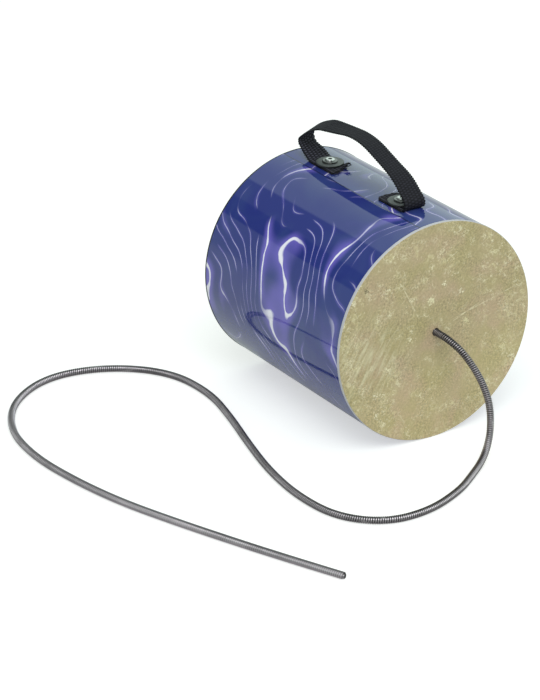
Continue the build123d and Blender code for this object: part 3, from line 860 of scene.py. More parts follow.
class THUNDERTUBE_OT_wrap(bpy.types.Operator):
    """Winds the printed film round the tube, with its lap seam"""
    bl_idname = "thunder_tube.wrap"
    bl_label = "Printed Wrap"

    def execute(self, context):
        look = context.scene.thunder_tube.tube
        outer = wrap_high.x
        # Round the tube from the film's free edge: the lap lies one wall higher, then ramps down
        edge = math.pi / 2 + look.lap_angle
        lap = look.lap_width / outer
        ramp = look.lap_ramp / outer
        # A slit is left where the film goes under its own edge
        slit = 0.2 * MM / outer
        turn = np.concatenate([
            np.linspace(0, lap, 25)[:-1],
            np.linspace(lap, lap + ramp, 9)[:-1],
            np.linspace(lap + ramp, 2 * np.pi - slit, 700),
        ])
        radius = outer + look.wrap_wall * (1 - smoothstep(lap, lap + ramp, turn))
        angle = edge + turn
        outer_rows = 40
        outside = np.linspace(wrap_low.y, wrap_high.y, outer_rows)
        along = np.concatenate([outside, [wrap_high.y, wrap_low.y]])
        is_outer = np.arange(len(along)) < outer_rows
        bore = outer - look.wrap_wall
        radii = np.where(is_outer[:, None], radius[None], bore)
        points = np.stack([
            radii * np.cos(angle),
            np.broadcast_to(along[:, None], radii.shape),
            AXIS_HEIGHT + radii * np.sin(angle),
        ], axis=-1)
        rows, columns = radii.shape
        u = np.append(turn, 2 * np.pi - slit) / (2 * np.pi)
        v = np.append(along, along[0])
        v = (v - wrap_low.y) / (wrap_high.y - wrap_low.y)
        add_piece(
            "printed_film", points, grid_quads(rows, columns, True, True), gloss_laminated_print(look),
            "tube", ["printed_wrap"], grid_uv(rows, columns, u, v))
        return {"FINISHED"}


class THUNDERTUBE_OT_shell(bpy.types.Operator):
    """Makes the wound fibre tube inside the wrap"""
    bl_idname = "thunder_tube.shell"
    bl_label = "Fibre Shell"

    def execute(self, context):
        look = context.scene.thunder_tube.tube
        outer = shell_high.x
        inner = outer - look.shell_wall
        inside = np.linspace(shell_low.y, shell_high.y, 24)
        profile = np.concatenate([
            np.stack([np.full_like(inside, inner), inside], axis=-1),
            [(outer, shell_high.y), (outer, shell_low.y)],
        ])
        points, quads = revolved(profile, AXIS_POINT, upright=False, sides=240)
        rows, sides = points.shape[:2]
        along = points[:, 0, 1]
        u = np.linspace(0, 1, sides + 1)
        v = (np.append(along, along[0]) - shell_low.y) / (shell_high.y - shell_low.y)
        add_piece(
            "fibre_tube", points, quads, wound_kraft_fibre(look), "tube", ["shell"],
            grid_uv(rows, sides, u, v))
        return {"FINISHED"}


class THUNDERTUBE_OT_end_rings(bpy.types.Operator):
    """Makes the pale hoop behind the head and the black ring round the open end"""
    bl_idname = "thunder_tube.end_rings"
    bl_label = "End Rings"

    def execute(self, context):
        look = context.scene.thunder_tube.tube
        spigot = shell_high.x - look.shell_wall - look.spigot_gap
        bore = spigot - look.spigot_wall
        rings = (
            ("head_ring", "head_hoop", "pale_hoop", hoop_low.y, shell_low.y, hoop_high.y, hoop_high.x,
             moulded_plastic("moulded_pale_plastic", look.hoop, roughness=0.42)),
            ("open_end_ring", "rim_ring", "black_rim", rim_high.y, shell_high.y, rim_low.y, rim_high.x,
             moulded_plastic("moulded_black_plastic", look.rim, roughness=0.38)),
        )
        for name, node, slot, face, seat, spigot_end, outer, material in rings:
            corners = [
                (bore, face), (outer, face), (outer, seat),
                (spigot, seat), (spigot, spigot_end), (bore, spigot_end)]
            edge = look.ring_edge
            profile = rounded_line(corners, [edge, edge, edge, 0.0, edge, edge], closed=True)
            points, quads = revolved(profile, AXIS_POINT, upright=False, sides=360)
            add_piece(name, points, quads, material, "tube", [node])
        return {"FINISHED"}


class THUNDERTUBE_OT_head(bpy.types.Operator):
    """Stretches the drum film over the hoop, and sets the anchor disc behind it"""
    bl_idname = "thunder_tube.head"
    bl_label = "Drum Head"

    def execute(self, context):
        look = context.scene.thunder_tube.head
        spring_radius = (root_high.x - root_low.x) / 2
        hole = spring_radius + look.hole_gap
        outer = film_high.x
        thickness = film_high.y - film_low.y
        # Front from the hole to the rim, then back again: the spring draws the film out round its hole
        rings = 60
        sides = 240
        share = np.linspace(0, 1, rings)
        front = hole + (outer - hole) * share ** 1.6
        edge = np.array([outer - 0.5 * thickness, outer])
        radius = np.concatenate([front[:-1], edge, front[::-1]])
        is_front = np.arange(len(radius)) < rings
        depth = np.where(is_front, 0.0, thickness)
        depth[rings] = 0.5 * thickness
        drawn = look.pull * np.exp(-(radius - hole) / (5 * MM))
        turn = np.linspace(0, 2 * np.pi, sides, endpoint=False)
        ring_y = (HEAD_FACE + depth - drawn)[:, None]
        points = np.stack([
            radius[:, None] * np.cos(turn),
            np.broadcast_to(ring_y, (len(radius), sides)),
            AXIS_HEIGHT + radius[:, None] * np.sin(turn),
        ], axis=-1)
        add_piece(
            "drum_film", points, grid_quads(len(radius), sides, True, True), mottled_drum_film(look),
            "tube", ["head_film"])

        disc_edge = 0.8 * MM
        disc_bore = hole - 0.15 * MM
        disc_corners = [
            (disc_bore, disc_low.y), (disc_high.x, disc_low.y),
            (disc_high.x, disc_high.y), (disc_bore, disc_high.y)]
        profile = rounded_line(disc_corners, [0.0, 0.0, disc_edge, disc_edge / 2], closed=True)
        points, quads = revolved(profile, AXIS_POINT, upright=False, sides=120)
        add_piece(
            "anchor_plate", points, quads, pressed_fibre(look), "tube", ["anchor_disc"])
        return {"FINISHED"}


class THUNDERTUBE_OT_spring(bpy.types.Operator):
    """Winds the close-coiled spring along its route, and crimps the ferrule on its inner end"""
    bl_idname = "thunder_tube.spring"
    bl_label = "Spring"

    def execute(self, context):
        look = context.scene.thunder_tube.spring
        diameter = root_high.x - root_low.x
        line = self.route_line()
        runs = np.linalg.norm(np.diff(line, axis=0), axis=1)
        reach = np.concatenate([[0], np.cumsum(runs)])
        length = reach[-1] - look.wire / 2
        tail = 1.2 * look.pitch
        steps = int((length + tail) / look.pitch * look.turn_steps)
        at = np.linspace(look.wire / 2, length + tail, steps)
        on_route = np.minimum(at, length)
        centre = np.stack([np.interp(on_route, reach, line[:, k]) for k in range(3)], axis=-1)

        # Frame along the route: tangent, a side that stays level, and a top
        slopes = np.gradient(line, reach, axis=0)
        tangent = np.stack([np.interp(at, reach, slopes[:, k]) for k in range(3)], axis=-1)
        tangent /= np.linalg.norm(tangent, axis=1, keepdims=True)
        side = np.cross(tangent, (0.0, 0.0, 1.0))
        side /= np.linalg.norm(side, axis=1, keepdims=True)
        top = np.cross(side, tangent)

        # Coil: wire centre = route + coil radius * (cos a * side + sin a * top), a turn for each pitch.
        # At the bare end, the wire's tail bends in to the middle and closes the coil.
        bent_in = smoothstep(length, length + 0.5 * look.pitch, at)
        coil_radius = (diameter - look.wire) / 2 * (1 - 0.75 * bent_in)
        turn = 2 * np.pi * at / look.pitch
        outward = np.cos(turn)[:, None] * side + np.sin(turn)[:, None] * top
        wire_line = centre + coil_radius[:, None] * outward
        wire_tangent = np.gradient(wire_line, axis=0)
        wire_tangent /= np.linalg.norm(wire_tangent, axis=1, keepdims=True)
        across = np.cross(outward, wire_tangent)
        wire_sides = 8
        around = np.linspace(0, 2 * np.pi, wire_sides, endpoint=False) + np.pi / wire_sides
        profile = look.wire / 2 * np.stack([np.cos(around), np.sin(around)], axis=-1)
        points, quads = swept(wire_line, across, outward, profile)
        material = worked_metal(
            "drawn_spring_wire", look.steel, roughness=0.42, spread=0.06, grit=1.2 * MM, depth=0.02,
            painted_light=True)
        coil = add_piece(
            "coil_spring", points, quads, material, None, ["spring_root", "spring_run"],
            sharp=75)
        # Painted shade darkens the grooves between the turns, and painted light and shade run along the
        # wire:
        #         darker near the head, as a painted reflection of the dark head, and lighter towards the
        #         bare end.
        #         Where the coil lies level, its top gets painted shade, its lower half more of it, and
        #         its shoulders a painted highlight. Where it hangs, it has one tone all round.
        groove = 0.05 + 0.95 * smoothstep(0.0, 0.9, np.sin(around))
        painted_light_along = 0.46 + 0.3 * smoothstep(20 * MM, 150 * MM, at)
        painted_light_along = painted_light_along + 0.3 * smoothstep(300 * MM, 900 * MM, at)
        up = outward[:, 2]
        below = 0.4 + 0.2 * smoothstep(650 * MM, 850 * MM, at)
        shoulder = (1.45 - below) * smoothstep(0.18, 0.55, up) - 1.2 * smoothstep(0.62, 0.92, up)
        level = smoothstep(0.5, 0.95, np.hypot(tangent[:, 0], tangent[:, 1]))
        hanging = 0.85
        painted_across = (1 - level) * hanging + level * (below + shoulder)
        tone = ((painted_light_along * painted_across)[:, None] * groove).ravel()
        attribute = coil.data.attributes.new("tone", "FLOAT", "POINT")
        attribute.data.foreach_set("value", tone.astype(np.float32))
        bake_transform(coil)

        bore = diameter / 2 + 0.05 * MM
        outer = bore + look.ferrule_wall
        edge = 0.2 * MM
        # The crimp is a groove of the shape cos^2 round the middle of the ferrule
        middle = (ferrule_low.y + ferrule_high.y) / 2
        crimp_half = 1.1 * MM
        crimp = np.linspace(-crimp_half, crimp_half, 13)
        crimped = outer - look.crimp * np.cos(crimp / crimp_half * np.pi / 2) ** 2
        profile = np.concatenate([
            [(bore, ferrule_low.y), (outer - edge, ferrule_low.y), (outer, ferrule_low.y + edge)],
            np.stack([crimped, middle + crimp], axis=-1),
            [(outer, ferrule_high.y - edge), (outer - edge, ferrule_high.y), (bore, ferrule_high.y)],
        ])
        points, quads = revolved(profile, AXIS_POINT, upright=False, sides=64)
        plating = context.scene.thunder_tube.rivet.plated
        plated = worked_metal("zinc_plated_ferrule", plating, **BRIGHT_PLATING)
        add_piece("crimp_ferrule", points, quads, plated, "tube", ["spring_ferrule"])
        return {"FINISHED"}

    def route_line(self):
        """Points along the smooth line of the spring, as Blender draws its NURBS spline."""
        curve = bpy.data.curves.new("spring_route", "CURVE")
        curve.dimensions = "3D"
        curve.resolution_u = 24
        spline = curve.splines.new("NURBS")
        spline.points.add(len(SPRING_ROUTE) - 1)
        for point, (x, out, z) in zip(spline.points, SPRING_ROUTE):
            point.co = (x * MM, HEAD_FACE - out * MM, z * MM, 1.0)
        spline.order_u = 3
        spline.use_endpoint_u = True
        guide = bpy.data.objects.new("spring_route", curve)
        drawn = bpy.data.meshes.new_from_object(guide)
        line = np.empty(len(drawn.vertices) * 3)
        drawn.vertices.foreach_get("co", line)
        bpy.data.objects.remove(guide)
        bpy.data.curves.remove(curve)
        bpy.data.meshes.remove(drawn)
        return line.reshape(-1, 3)


class THUNDERTUBE_OT_strap(bpy.types.Operator):
    """Bends the webbing strap over the tube, with its ribs and its frayed end"""
    bl_idname = "thunder_tube.strap"
    bl_label = "Strap"

    def execute(self, context):
        look = context.scene.thunder_tube.strap
        middle = tab_low.z + look.thickness / 2
        half_width = tab_high.x
        places = {end: rivet_place(end) for end in ("front", "rear")}
        corners = [
            (places[end].y + y * MM, middle + height * MM) for end, y, height, radius in STRAP_BENDS]
        radii = [radius * MM for end, y, height, radius in STRAP_BENDS]
        line = rounded_line(corners, radii, closed=False, steps=24)
        reach = np.concatenate([[0], np.cumsum(np.linalg.norm(np.diff(line, axis=0), axis=1))])
        # Points along each rib, and across each yarn
        fineness = 5
        steps = int(reach[-1] / (look.rib_pitch / fineness))
        at = np.linspace(0, reach[-1], steps)

        # Section: along the outer face, round one edge, back along the inner face, round the other
        columns = fineness * look.yarns
        half = look.thickness / 2
        across = np.linspace(-1, 1, columns)
        edge = 0.45 * half
        flat = half_width - edge
        edge_turn = np.linspace(np.pi / 2, -np.pi / 2, 6)[1:-1]
        x = np.concatenate([
            flat * across, flat + edge * np.cos(edge_turn),
            flat * across[::-1], -flat - edge * np.cos(edge_turn)])
        face = np.concatenate([
            np.ones(columns), np.sin(edge_turn), -np.ones(columns), -np.sin(edge_turn)])
        on_face = np.abs(face) > 0.99

        # The rear end is cut at a slant and ragged, and the front end has rounded corners
        rng = np.random.default_rng(4)
        notches = 10
        notch_depth = 2.2 * MM
        ragged = np.interp(
            x, np.linspace(-half_width, half_width, notches), rng.uniform(0, notch_depth, notches))
        start = self.cut_line(look, x, half_width) + ragged
        into_corner = np.clip(np.abs(x) - (half_width - look.corner), 0, look.corner)
        end = look.corner - np.sqrt(look.corner ** 2 - into_corner ** 2)
        end_zone = 26 * MM
        rear_share = 1 - smoothstep(0, end_zone, at)
        front_share = smoothstep(reach[-1] - end_zone, reach[-1], at)
        place = at[:, None] + start * rear_share[:, None] - end * front_share[:, None]
        y = np.interp(place, reach, line[:, 0])
        z = np.interp(place, reach, line[:, 1])
        slope_y = np.gradient(line[:, 0], reach)
        slope_z = np.gradient(line[:, 1], reach)
        along_y = np.interp(place, reach, slope_y)
        along_z = np.interp(place, reach, slope_z)
        size = np.hypot(along_y, along_z)
        out_y = along_z / size
        out_z = -along_y / size

        # Ribs: relief * |sin(pi * (place / pitch + half for every other yarn))| * |sin(pi * yarn)| ^ 0.5
        yarn = (x / flat + 1) / 2 * look.yarns
        column = np.floor(np.clip(yarn, 0, look.yarns - 0.001))
        rib = np.abs(np.sin(np.pi * (place / look.rib_pitch + 0.5 * (column % 2))))
        crown = rib * np.abs(np.sin(np.pi * np.clip(yarn, 0, look.yarns))) ** 0.5
        crown = np.where(on_face, crown, 0.5 * rib)
        # Hands have rubbed the outer face of the loop smoother
        lowered = np.where(face > -0.5, 0.65, 1.0)
        off = face * (half - look.relief * lowered * (1 - crown))
        # The loop twists: its left edge drops behind the crest and lifts in front of it
        share = place / reach[-1]
        behind = look.rear_twist * smoothstep(0.15, 0.24, share) * (1 - smoothstep(0.24, 0.56, share))
        ahead = look.front_twist * smoothstep(0.42, 0.64, share) * (1 - smoothstep(0.68, 0.85, share))
        twist = ahead - behind
        off = off - twist * x / half_width + 0.3 * behind
        # Where the strap lies on the tube, it bends across its width to the tube's own curve
        droop = tube_drop(x)
        lying = 1 - smoothstep(0.3 * MM, 9 * MM, z - middle)
        from_cut = place - start
        curl = look.curl * (1 - smoothstep(0, 7 * MM, from_cut)) * self.curled_share(x, half_width)
        bumpy = np.where(on_face, 1.0, 1 + 0.10 * (rib - 0.5)) * (1 + 0.07 * lying)
        points = np.stack([
            x * bumpy * np.sqrt(1 - (twist / half_width) ** 2),
            y + off * out_y,
            z + off * out_z - droop * lying + curl], axis=-1)

        rows, width = y.shape
        first = np.arange(width)
        quads = np.concatenate([
            grid_quads(rows, width, False, True)[:, ::-1],
            cap_quads(first), cap_quads((first + (rows - 1) * width)[::-1])])
        u = place / MM
        v = np.append(x, x[0]) / MM
        uv = self.face_uv(u, v, rows, width, len(quads))
        threads = self.loose_threads(rng, look, line[0], half_width)
        thread_uv = np.zeros((4 * len(threads[1]), 2))
        points, quads = joined([(points.reshape(-1, 3), quads), threads])
        strap = add_piece(
            "webbing_strap", points, quads, woven_nylon(look), None,
            ["strap_foot_front", "strap_foot_rear", "strap_loop"],
            np.concatenate([uv, thread_uv]), sharp=60)
        # Painted highlights on the rib crowns: strong on the inner face of the loop, which faces the
        # light, and faint on the outer face
        emphasis = np.where(face > -0.5, 0.55 * crown, 1.9 * crown ** 2)
        shade = np.concatenate([emphasis.ravel(), np.full(len(threads[0]), 0.6)])
        attribute = strap.data.attributes.new("crown", "FLOAT", "POINT")
        attribute.data.foreach_set("value", shade.astype(np.float32))
        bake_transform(strap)
        return {"FINISHED"}

    def cut_line(self, look, x, half_width):
        """How far the slanted cut lies from the strap's rear end at x. Its right corner stands out."""
        slant = look.cut_slant * (x + half_width) / (2 * half_width)
        tooth = look.tooth * smoothstep(0.15 * half_width, 0.5 * half_width, x)
        return slant - tooth

    def curled_share(self, x, half_width):
        """How much of the cut end's curl there is at x: all of it at the right corner."""
        return smoothstep(0, 0.7 * half_width, x)

    def face_uv(self, u, v, rows, width, count):
        """Place along and across the strap, in millimetres, at each quad's corners."""
        row, column = np.meshgrid(np.arange(rows - 1), np.arange(width), indexing="ij")
        after = (column + 1) % width
        corner_u = np.stack(
            [u[row, after], u[row + 1, after], u[row + 1, column], u[row, column]], axis=-1)
        corner_v = np.stack([v[column + 1], v[column + 1], v[column], v[column]], axis=-1)
        uv = np.stack([corner_u, corner_v], axis=-1).reshape(-1, 2)
        return np.concatenate([uv, np.zeros((4 * count - len(uv), 2))])

    def loose_threads(self, rng, look, end, half_width):
        """Thin threads that stand out of the slanted cut: each is a bent, tapering tube,
        point = root + length * (t forwards + t^2 * lean sideways and down)."""
        count = 30
        thread_radius = 0.2 * MM
        inside_cut = 0.8 * MM
        t = np.linspace(0, 1, 6)[:, None]
        parts = []
        for root_x in np.linspace(-half_width, half_width, count) + rng.uniform(-0.2, 0.2, count) * MM:
            root_y = end[0] + self.cut_line(look, root_x, half_width) + inside_cut
            # The right corner is curled up, and its threads with it
            tuft = self.curled_share(root_x, half_width)
            root_z = end[1] + rng.uniform(-0.45, 0.35) * MM - tube_drop(root_x)
            root_z = root_z + 0.75 * look.curl * tuft
            length = look.fray * rng.uniform(0.35, 1.0) + 0.6 * MM
            lean = np.array([rng.uniform(-0.5, 0.5), 0.0, rng.uniform(-0.15, 0.25) + 0.2 * tuft])
            root = np.array([root_x, root_y, root_z])
            path = root + length * (t * np.array([0.0, -1.0, 0.0]) + t ** 2 * lean)
            sides = np.linspace(0, 2 * np.pi, 6, endpoint=False)
            circle = thread_radius * np.stack([np.cos(sides), np.sin(sides)], axis=-1)
            taper = (1 - 0.6 * t)[:, :, None] * circle[None]
            normals = np.broadcast_to(np.array([1.0, 0.0, 0.0]), path.shape)
            binormals = np.broadcast_to(np.array([0.0, 0.0, 1.0]), path.shape)
            parts.append(swept(path, normals, binormals, taper))
        return joined(parts)


class THUNDERTUBE_OT_rivets(bpy.types.Operator):
    """Sets the washers, blind rivets and mandrels at both ends of the strap"""
    bl_idname = "thunder_tube.rivets"
    bl_label = "Rivets and Washers"

    def execute(self, context):
        look = context.scene.thunder_tube.rivet
        # The washers' sideways faces get painted shade
        dull = worked_metal(
            "dull_zinc_washer", look.zinc, roughness=0.52, spread=0.10, grit=0.5 * MM, depth=0.08,
            side_shade=0.4)
        # The rivet's flange and all below it get painted shade, and its sideways faces too, so that the
        # dome stands out bright
        flange_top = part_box("rivet_front")[1].z - look.dome_height
        bright = worked_metal(
            "set_aluminium_rivet", look.aluminium, roughness=0.28, spread=0.05, grit=0.4 * MM,
            depth=0.01, side_shade=0.45, shaded_below=flange_top)
        plated = worked_metal("zinc_plated_steel", look.plated, **BRIGHT_PLATING)
        # The mandrel below the groove's floor gets painted shade
        groove_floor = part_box("mandrel_front")[1].z - look.groove
        broken = worked_metal(
            "broken_mandrel_steel", look.plated, **BRIGHT_PLATING, shaded_below=groove_floor)
        for end in ("front", "rear"):
            place = rivet_place(end)
            foot = (place.x, place.y, 0.0)
            self.washer(
                f"cover_washer_{end}", f"washer_{end}", look, foot, dull, "washer_steel", edge=0.4 * MM)
            self.washer(
                f"inner_washer_{end}", f"backing_washer_{end}", look, foot, plated, "plated_steel",
                edge=0.15 * MM)
            self.rivet(look, end, foot, bright)
            self.mandrel(look, end, foot, broken)
        return {"FINISHED"}

    def washer(self, name, node, look, foot, material, slot, edge):
        """A flat ring. Its upper outer edge has the full rounding, and the other edges have less."""
        low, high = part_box(node)
        outer = (high.x - low.x) / 2
        hole = look.hole / 2
        corners = [(hole, low.z), (outer, low.z), (outer, high.z), (hole, high.z)]
        profile = rounded_line(corners, [edge / 4, edge / 4, edge, edge / 2], closed=True)
        points, quads = revolved(profile, foot, upright=True, sides=96)
        add_piece(name, points, quads, material, "tube", [node])

    def rivet(self, look, end, foot, material):
        """A flanged head with a low dome, a shank, and the bulb that setting leaves inside."""
        low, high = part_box(f"rivet_{end}")
        flange = (high.x - low.x) / 2
        dome = look.dome / 2
        bore = look.bore / 2
        shank = look.shank / 2
        bulb = look.bulb / 2
        flange_top = high.z - look.dome_height
        flange_foot = flange_top - look.dome_height
        bulb_top = low.z + look.bulb_length
        corners = [
            (bore, low.z), (bulb, low.z), (bulb, bulb_top), (shank, bulb_top), (shank, flange_foot),
            (flange, flange_foot), (flange, flange_top), (dome, flange_top), (dome, high.z),
            (bore, high.z)]
        radii = [0.0, 1.4 * MM, 0.8 * MM, 0.0, 0.0, 0.1 * MM, 0.5 * MM, 0.2 * MM, 0.9 * MM, 0.12 * MM]
        profile = rounded_line(corners, radii, closed=True)
        points, quads = revolved(profile, foot, upright=True, sides=96)
        add_piece(
            f"blind_rivet_{end}", points, quads, material, "tube", [f"rivet_{end}"])

    def mandrel(self, look, end, foot, material):
        """The pin left in the rivet: a head under the bulb, and a stub that broke off in the dome."""
        low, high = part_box(f"mandrel_{end}")
        head = (high.x - low.x) / 2
        stem = look.bore / 2 - 0.05 * MM
        neck = look.neck / 2
        tip = 0.15 * MM
        head_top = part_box(f"rivet_{end}")[0].z
        groove_floor = high.z - look.groove
        corners = [
            (tip, low.z), (head, low.z), (head, head_top), (stem, head_top),
            (stem, groove_floor), (neck, groove_floor), (neck, high.z), (tip, high.z)]
        radii = [0.0, 1.3 * MM, 0.3 * MM, 0.0, 0.1 * MM, 0.2 * MM, 0.15 * MM, 0.0]
        line = rounded_line(corners, radii, closed=False)
        sides = 48
        turn = np.linspace(0, 2 * np.pi, sides, endpoint=False)
        radius, height = line.T
        points = np.stack([
            foot[0] + radius[:, None] * np.cos(turn),
            foot[1] + radius[:, None] * np.sin(turn),
            np.broadcast_to(height[:, None], (len(line), sides)),
        ], axis=-1)
        first = np.arange(sides)
        last = first + (len(line) - 1) * sides
        quads = np.concatenate([
            grid_quads(len(line), sides, False, True)[:, ::-1],
            cap_quads(first[::-1]), cap_quads(last)])
        add_piece(
            f"broken_mandrel_{end}", points, quads, material,
            "tube", [f"mandrel_{end}"])


class THUNDERTUBE_OT_stage(bpy.types.Operator):
    """Lays the pale floor and sets the soft lights and the camera"""
    bl_idname = "thunder_tube.stage"
    bl_label = "Stage"

    def execute(self, context):
        look = context.scene.thunder_tube.stage
        self.floor(look)
        self.surroundings(context, look)
        self.key_light(context, look)
        self.camera(context, look)
        context.scene.view_settings.view_transform = "Standard"
        return {"FINISHED"}

    def floor(self, look):
        """A flat pale sheet under the object. The eye sees it near white, with its shadows, and mirrors
        see some of that white."""
        material = bpy.data.materials.new("studio_paper")
        material.use_nodes = True
        tree = material.node_tree
        tree.nodes.clear()
        paper = add_node(tree, "ShaderNodeBsdfDiffuse", {"Color": look.floor})
        path = add_node(tree, "ShaderNodeLightPath")
        direct = add_node(tree, "ShaderNodeMath", {
            0: path.outputs["Is Camera Ray"], 1: path.outputs["Is Transmission Ray"]},
            operation="MAXIMUM")
        seen = add_node(tree, "ShaderNodeMath", {
            0: path.outputs["Is Glossy Ray"], 1: look.mirrored_white, 2: direct.outputs[0]},
            operation="MULTIPLY_ADD")
        level = add_node(tree, "ShaderNodeMath", {
            0: seen.outputs[0], 1: look.floor_white}, operation="MULTIPLY")
        white = add_node(tree, "ShaderNodeEmission", {
            "Color": (1, 1, 1, 1), "Strength": level.outputs[0]})
        both = add_node(tree, "ShaderNodeAddShader", {0: paper.outputs[0], 1: white.outputs[0]})
        add_node(tree, "ShaderNodeOutputMaterial", {"Surface": both.outputs[0]})
        count = 5
        side = look.floor_size * np.linspace(-1, 1, count)
        x, y = np.meshgrid(side, side)
        points = np.stack([y, x, np.zeros_like(x)], axis=-1)
        quads = grid_quads(count, count, False, False)[:, ::-1]
        floor = add_piece("studio_floor", points, quads, material)

    def surroundings(self, context, look):
        """Even light for matt surfaces. The eye sees white all round, and mirrors see pale walls, with a
        dark gap on one side between the top of the wall and the ceiling."""
        world = bpy.data.worlds.new("white_studio")
        context.scene.world = world
        world.use_nodes = True
        tree = world.node_tree
        tree.nodes.clear()
        way = add_node(tree, "ShaderNodeTexCoord")
        axes = add_node(tree, "ShaderNodeSeparateXYZ", {0: way.outputs["Generated"]})
        # Heights on the walls are sines of angles above level, each as a pair between which it changes
        wall_top = [math.sin(math.radians(angle)) for angle in (19.2, 20.2)]
        gap_middle = [math.sin(math.radians(angle)) for angle in (30, 31)]
        ceiling_foot = [math.sin(math.radians(angle)) for angle in (44, 48)]
        above_wall = add_node(tree, "ShaderNodeMapRange", {
            0: axes.outputs[2], 1: wall_top[0], 2: wall_top[1]})
        below_ceiling = add_node(tree, "ShaderNodeMapRange", {
            0: axes.outputs[2], 1: ceiling_foot[0], 2: ceiling_foot[1], 3: 1.0, 4: 0.0})
        # The gap lies left of a line 10 degrees off the tube's rear
        off_rear = math.radians(10)
        aside = add_node(tree, "ShaderNodeVectorMath", {
            0: way.outputs["Generated"], 1: (math.cos(off_rear), math.sin(off_rear), 0)},
            operation="DOT_PRODUCT")
        left = add_node(tree, "ShaderNodeMapRange", {
            0: aside.outputs["Value"], 1: -0.012, 2: 0.012, 3: 1.0, 4: 0.0})
        gap = add_node(tree, "ShaderNodeMath", {
            0: above_wall.outputs[0], 1: below_ceiling.outputs[0]}, operation="MULTIPLY")
        gap = add_node(tree, "ShaderNodeMath", {
            0: gap.outputs[0], 1: left.outputs[0]}, operation="MULTIPLY")
        wall = add_node(tree, "ShaderNodeMapRange", {
            0: axes.outputs[2], 1: 0.0, 2: 0.32, 3: 0.52, 4: 0.38})
        rightward = add_node(tree, "ShaderNodeMapRange", {0: axes.outputs[0], 1: 0.0, 2: 0.35})
        wall = add_node(tree, "ShaderNodeMix", {0: rightward.outputs[0], 2: wall.outputs[0], 3: 1.0})
        above = add_node(tree, "ShaderNodeMix", {0: rightward.outputs[0], 2: 0.76, 3: 1.0})
        ceiling = add_node(tree, "ShaderNodeMix", {
            0: above_wall.outputs[0], 2: wall.outputs[0], 3: above.outputs[0]})
        # The gap is a little lighter in its upper half
        dark = add_node(tree, "ShaderNodeMapRange", {
            0: axes.outputs[2], 1: gap_middle[0], 2: gap_middle[1], 3: 0.03, 4: 0.2})
        picture = add_node(tree, "ShaderNodeMix", {
            0: gap.outputs[0], 2: ceiling.outputs[0], 3: dark.outputs[0]})
        path = add_node(tree, "ShaderNodeLightPath")
        seen = add_node(tree, "ShaderNodeMath", {
            0: path.outputs["Is Camera Ray"], 1: path.outputs["Is Glossy Ray"]}, operation="MAXIMUM")
        seen = add_node(tree, "ShaderNodeMath", {
            0: seen.outputs[0], 1: path.outputs["Is Transmission Ray"]}, operation="MAXIMUM")
        level = add_node(tree, "ShaderNodeMix", {
            0: seen.outputs[0], 2: look.sky, 3: picture.outputs[0]})
        level = add_node(tree, "ShaderNodeMix", {
            0: path.outputs["Is Camera Ray"], 2: level.outputs[0], 3: 1.0})
        tint = add_node(tree, "ShaderNodeMix", {
            0: path.outputs["Is Camera Ray"], 6: look.air, 7: (1, 1, 1, 1)}, data_type="RGBA")
        light = add_node(tree, "ShaderNodeBackground", {
            "Color": tint.outputs[2], "Strength": level.outputs[0]})
        add_node(tree, "ShaderNodeOutputWorld", {"Surface": light.outputs[0]})

    def key_light(self, context, look):
        """One large soft box, high in front and to the left."""
        lamp = bpy.data.lights.new("soft_box", "AREA")
        lamp.shape = "RECTANGLE"
        lamp.size = 2.6
        lamp.size_y = 2.0
        lamp.energy = look.key_power
        box = bpy.data.objects.new("soft_box", lamp)
        box.location = (-1.07, -1.98, 2.82)
        target = Vector((-0.03, -0.02, 0.08))
        box.rotation_euler = (target - box.location).to_track_quat("-Z", "Y").to_euler()
        box.visible_camera = False
        context.scene.collection.objects.link(box)

    def camera(self, context, look):
        """The photograph's view: turned and raised about the tube's middle, and set beside it."""
        turn, rise = look.azimuth, look.elevation
        back = Vector((
            math.sin(turn) * math.cos(rise), -math.cos(turn) * math.cos(rise), math.sin(rise)))
        right = Vector((math.cos(turn), math.sin(turn), 0.0))
        up = back.cross(right)
        data = bpy.data.cameras.new("photo_camera")
        data.sensor_width = 36
        data.lens = look.focal
        camera = bpy.data.objects.new("photo_camera", data)
        camera.location = (
            Vector(AXIS_POINT) + look.shift_right * right + look.shift_up * up + look.distance * back)
        camera.rotation_euler = (-back).to_track_quat("-Z", "Y").to_euler()
        context.scene.collection.objects.link(camera)
        context.scene.camera = camera


OPERATORS = (
    THUNDERTUBE_OT_stage,
    THUNDERTUBE_OT_spring,
    THUNDERTUBE_OT_wrap,
    THUNDERTUBE_OT_shell,
    THUNDERTUBE_OT_end_rings,
    THUNDERTUBE_OT_head,
    THUNDERTUBE_OT_strap,
    THUNDERTUBE_OT_rivets,
)


class THUNDERTUBE_PT_panel(bpy.types.Panel):
    """Lists the pieces of the thunder tube and their settings"""
    bl_idname = "THUNDERTUBE_PT_panel"
    bl_label = "Thunder Tube"
    bl_space_type = "VIEW_3D"
    bl_region_type = "UI"
    bl_category = "Thunder Tube"

    def draw(self, context):
        settings = context.scene.thunder_tube
        for operator in OPERATORS:
            self.layout.operator(operator.bl_idname)
        groups = (
            settings.tube, settings.head, settings.spring,
            settings.strap, settings.rivet, settings.stage,
        )
        for group in groups:
            box = self.layout.box()
            for name in group.__annotations__:
                box.prop(group, name)


CLASSES = (
    TubeSettings, HeadSettings, SpringSettings, StrapSettings, RivetSettings, StageSettings,
    ThunderTubeSettings, *OPERATORS, THUNDERTUBE_PT_panel,
)


def register():
    for cls in CLASSES:
        bpy.utils.register_class(cls)
    bpy.types.Scene.thunder_tube = PointerProperty(type=ThunderTubeSettings)


def unregister():
    del bpy.types.Scene.thunder_tube
    for cls in reversed(CLASSES):
        bpy.utils.unregister_class(cls)


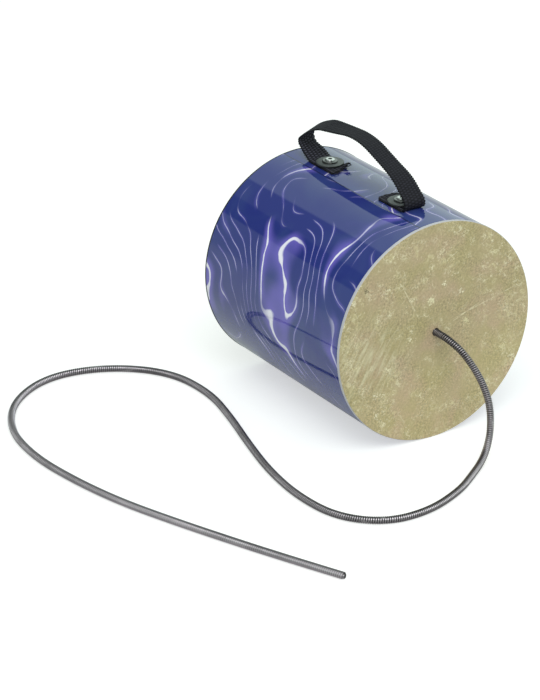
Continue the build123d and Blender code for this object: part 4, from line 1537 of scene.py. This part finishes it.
def main():
    register()
    bpy.ops.thunder_tube.stage()
    bpy.ops.thunder_tube.spring()
    bpy.ops.thunder_tube.wrap()
    bpy.ops.thunder_tube.shell()
    bpy.ops.thunder_tube.end_rings()
    bpy.ops.thunder_tube.head()
    bpy.ops.thunder_tube.strap()
    bpy.ops.thunder_tube.rivets()


if __name__ == "__main__":
    main()
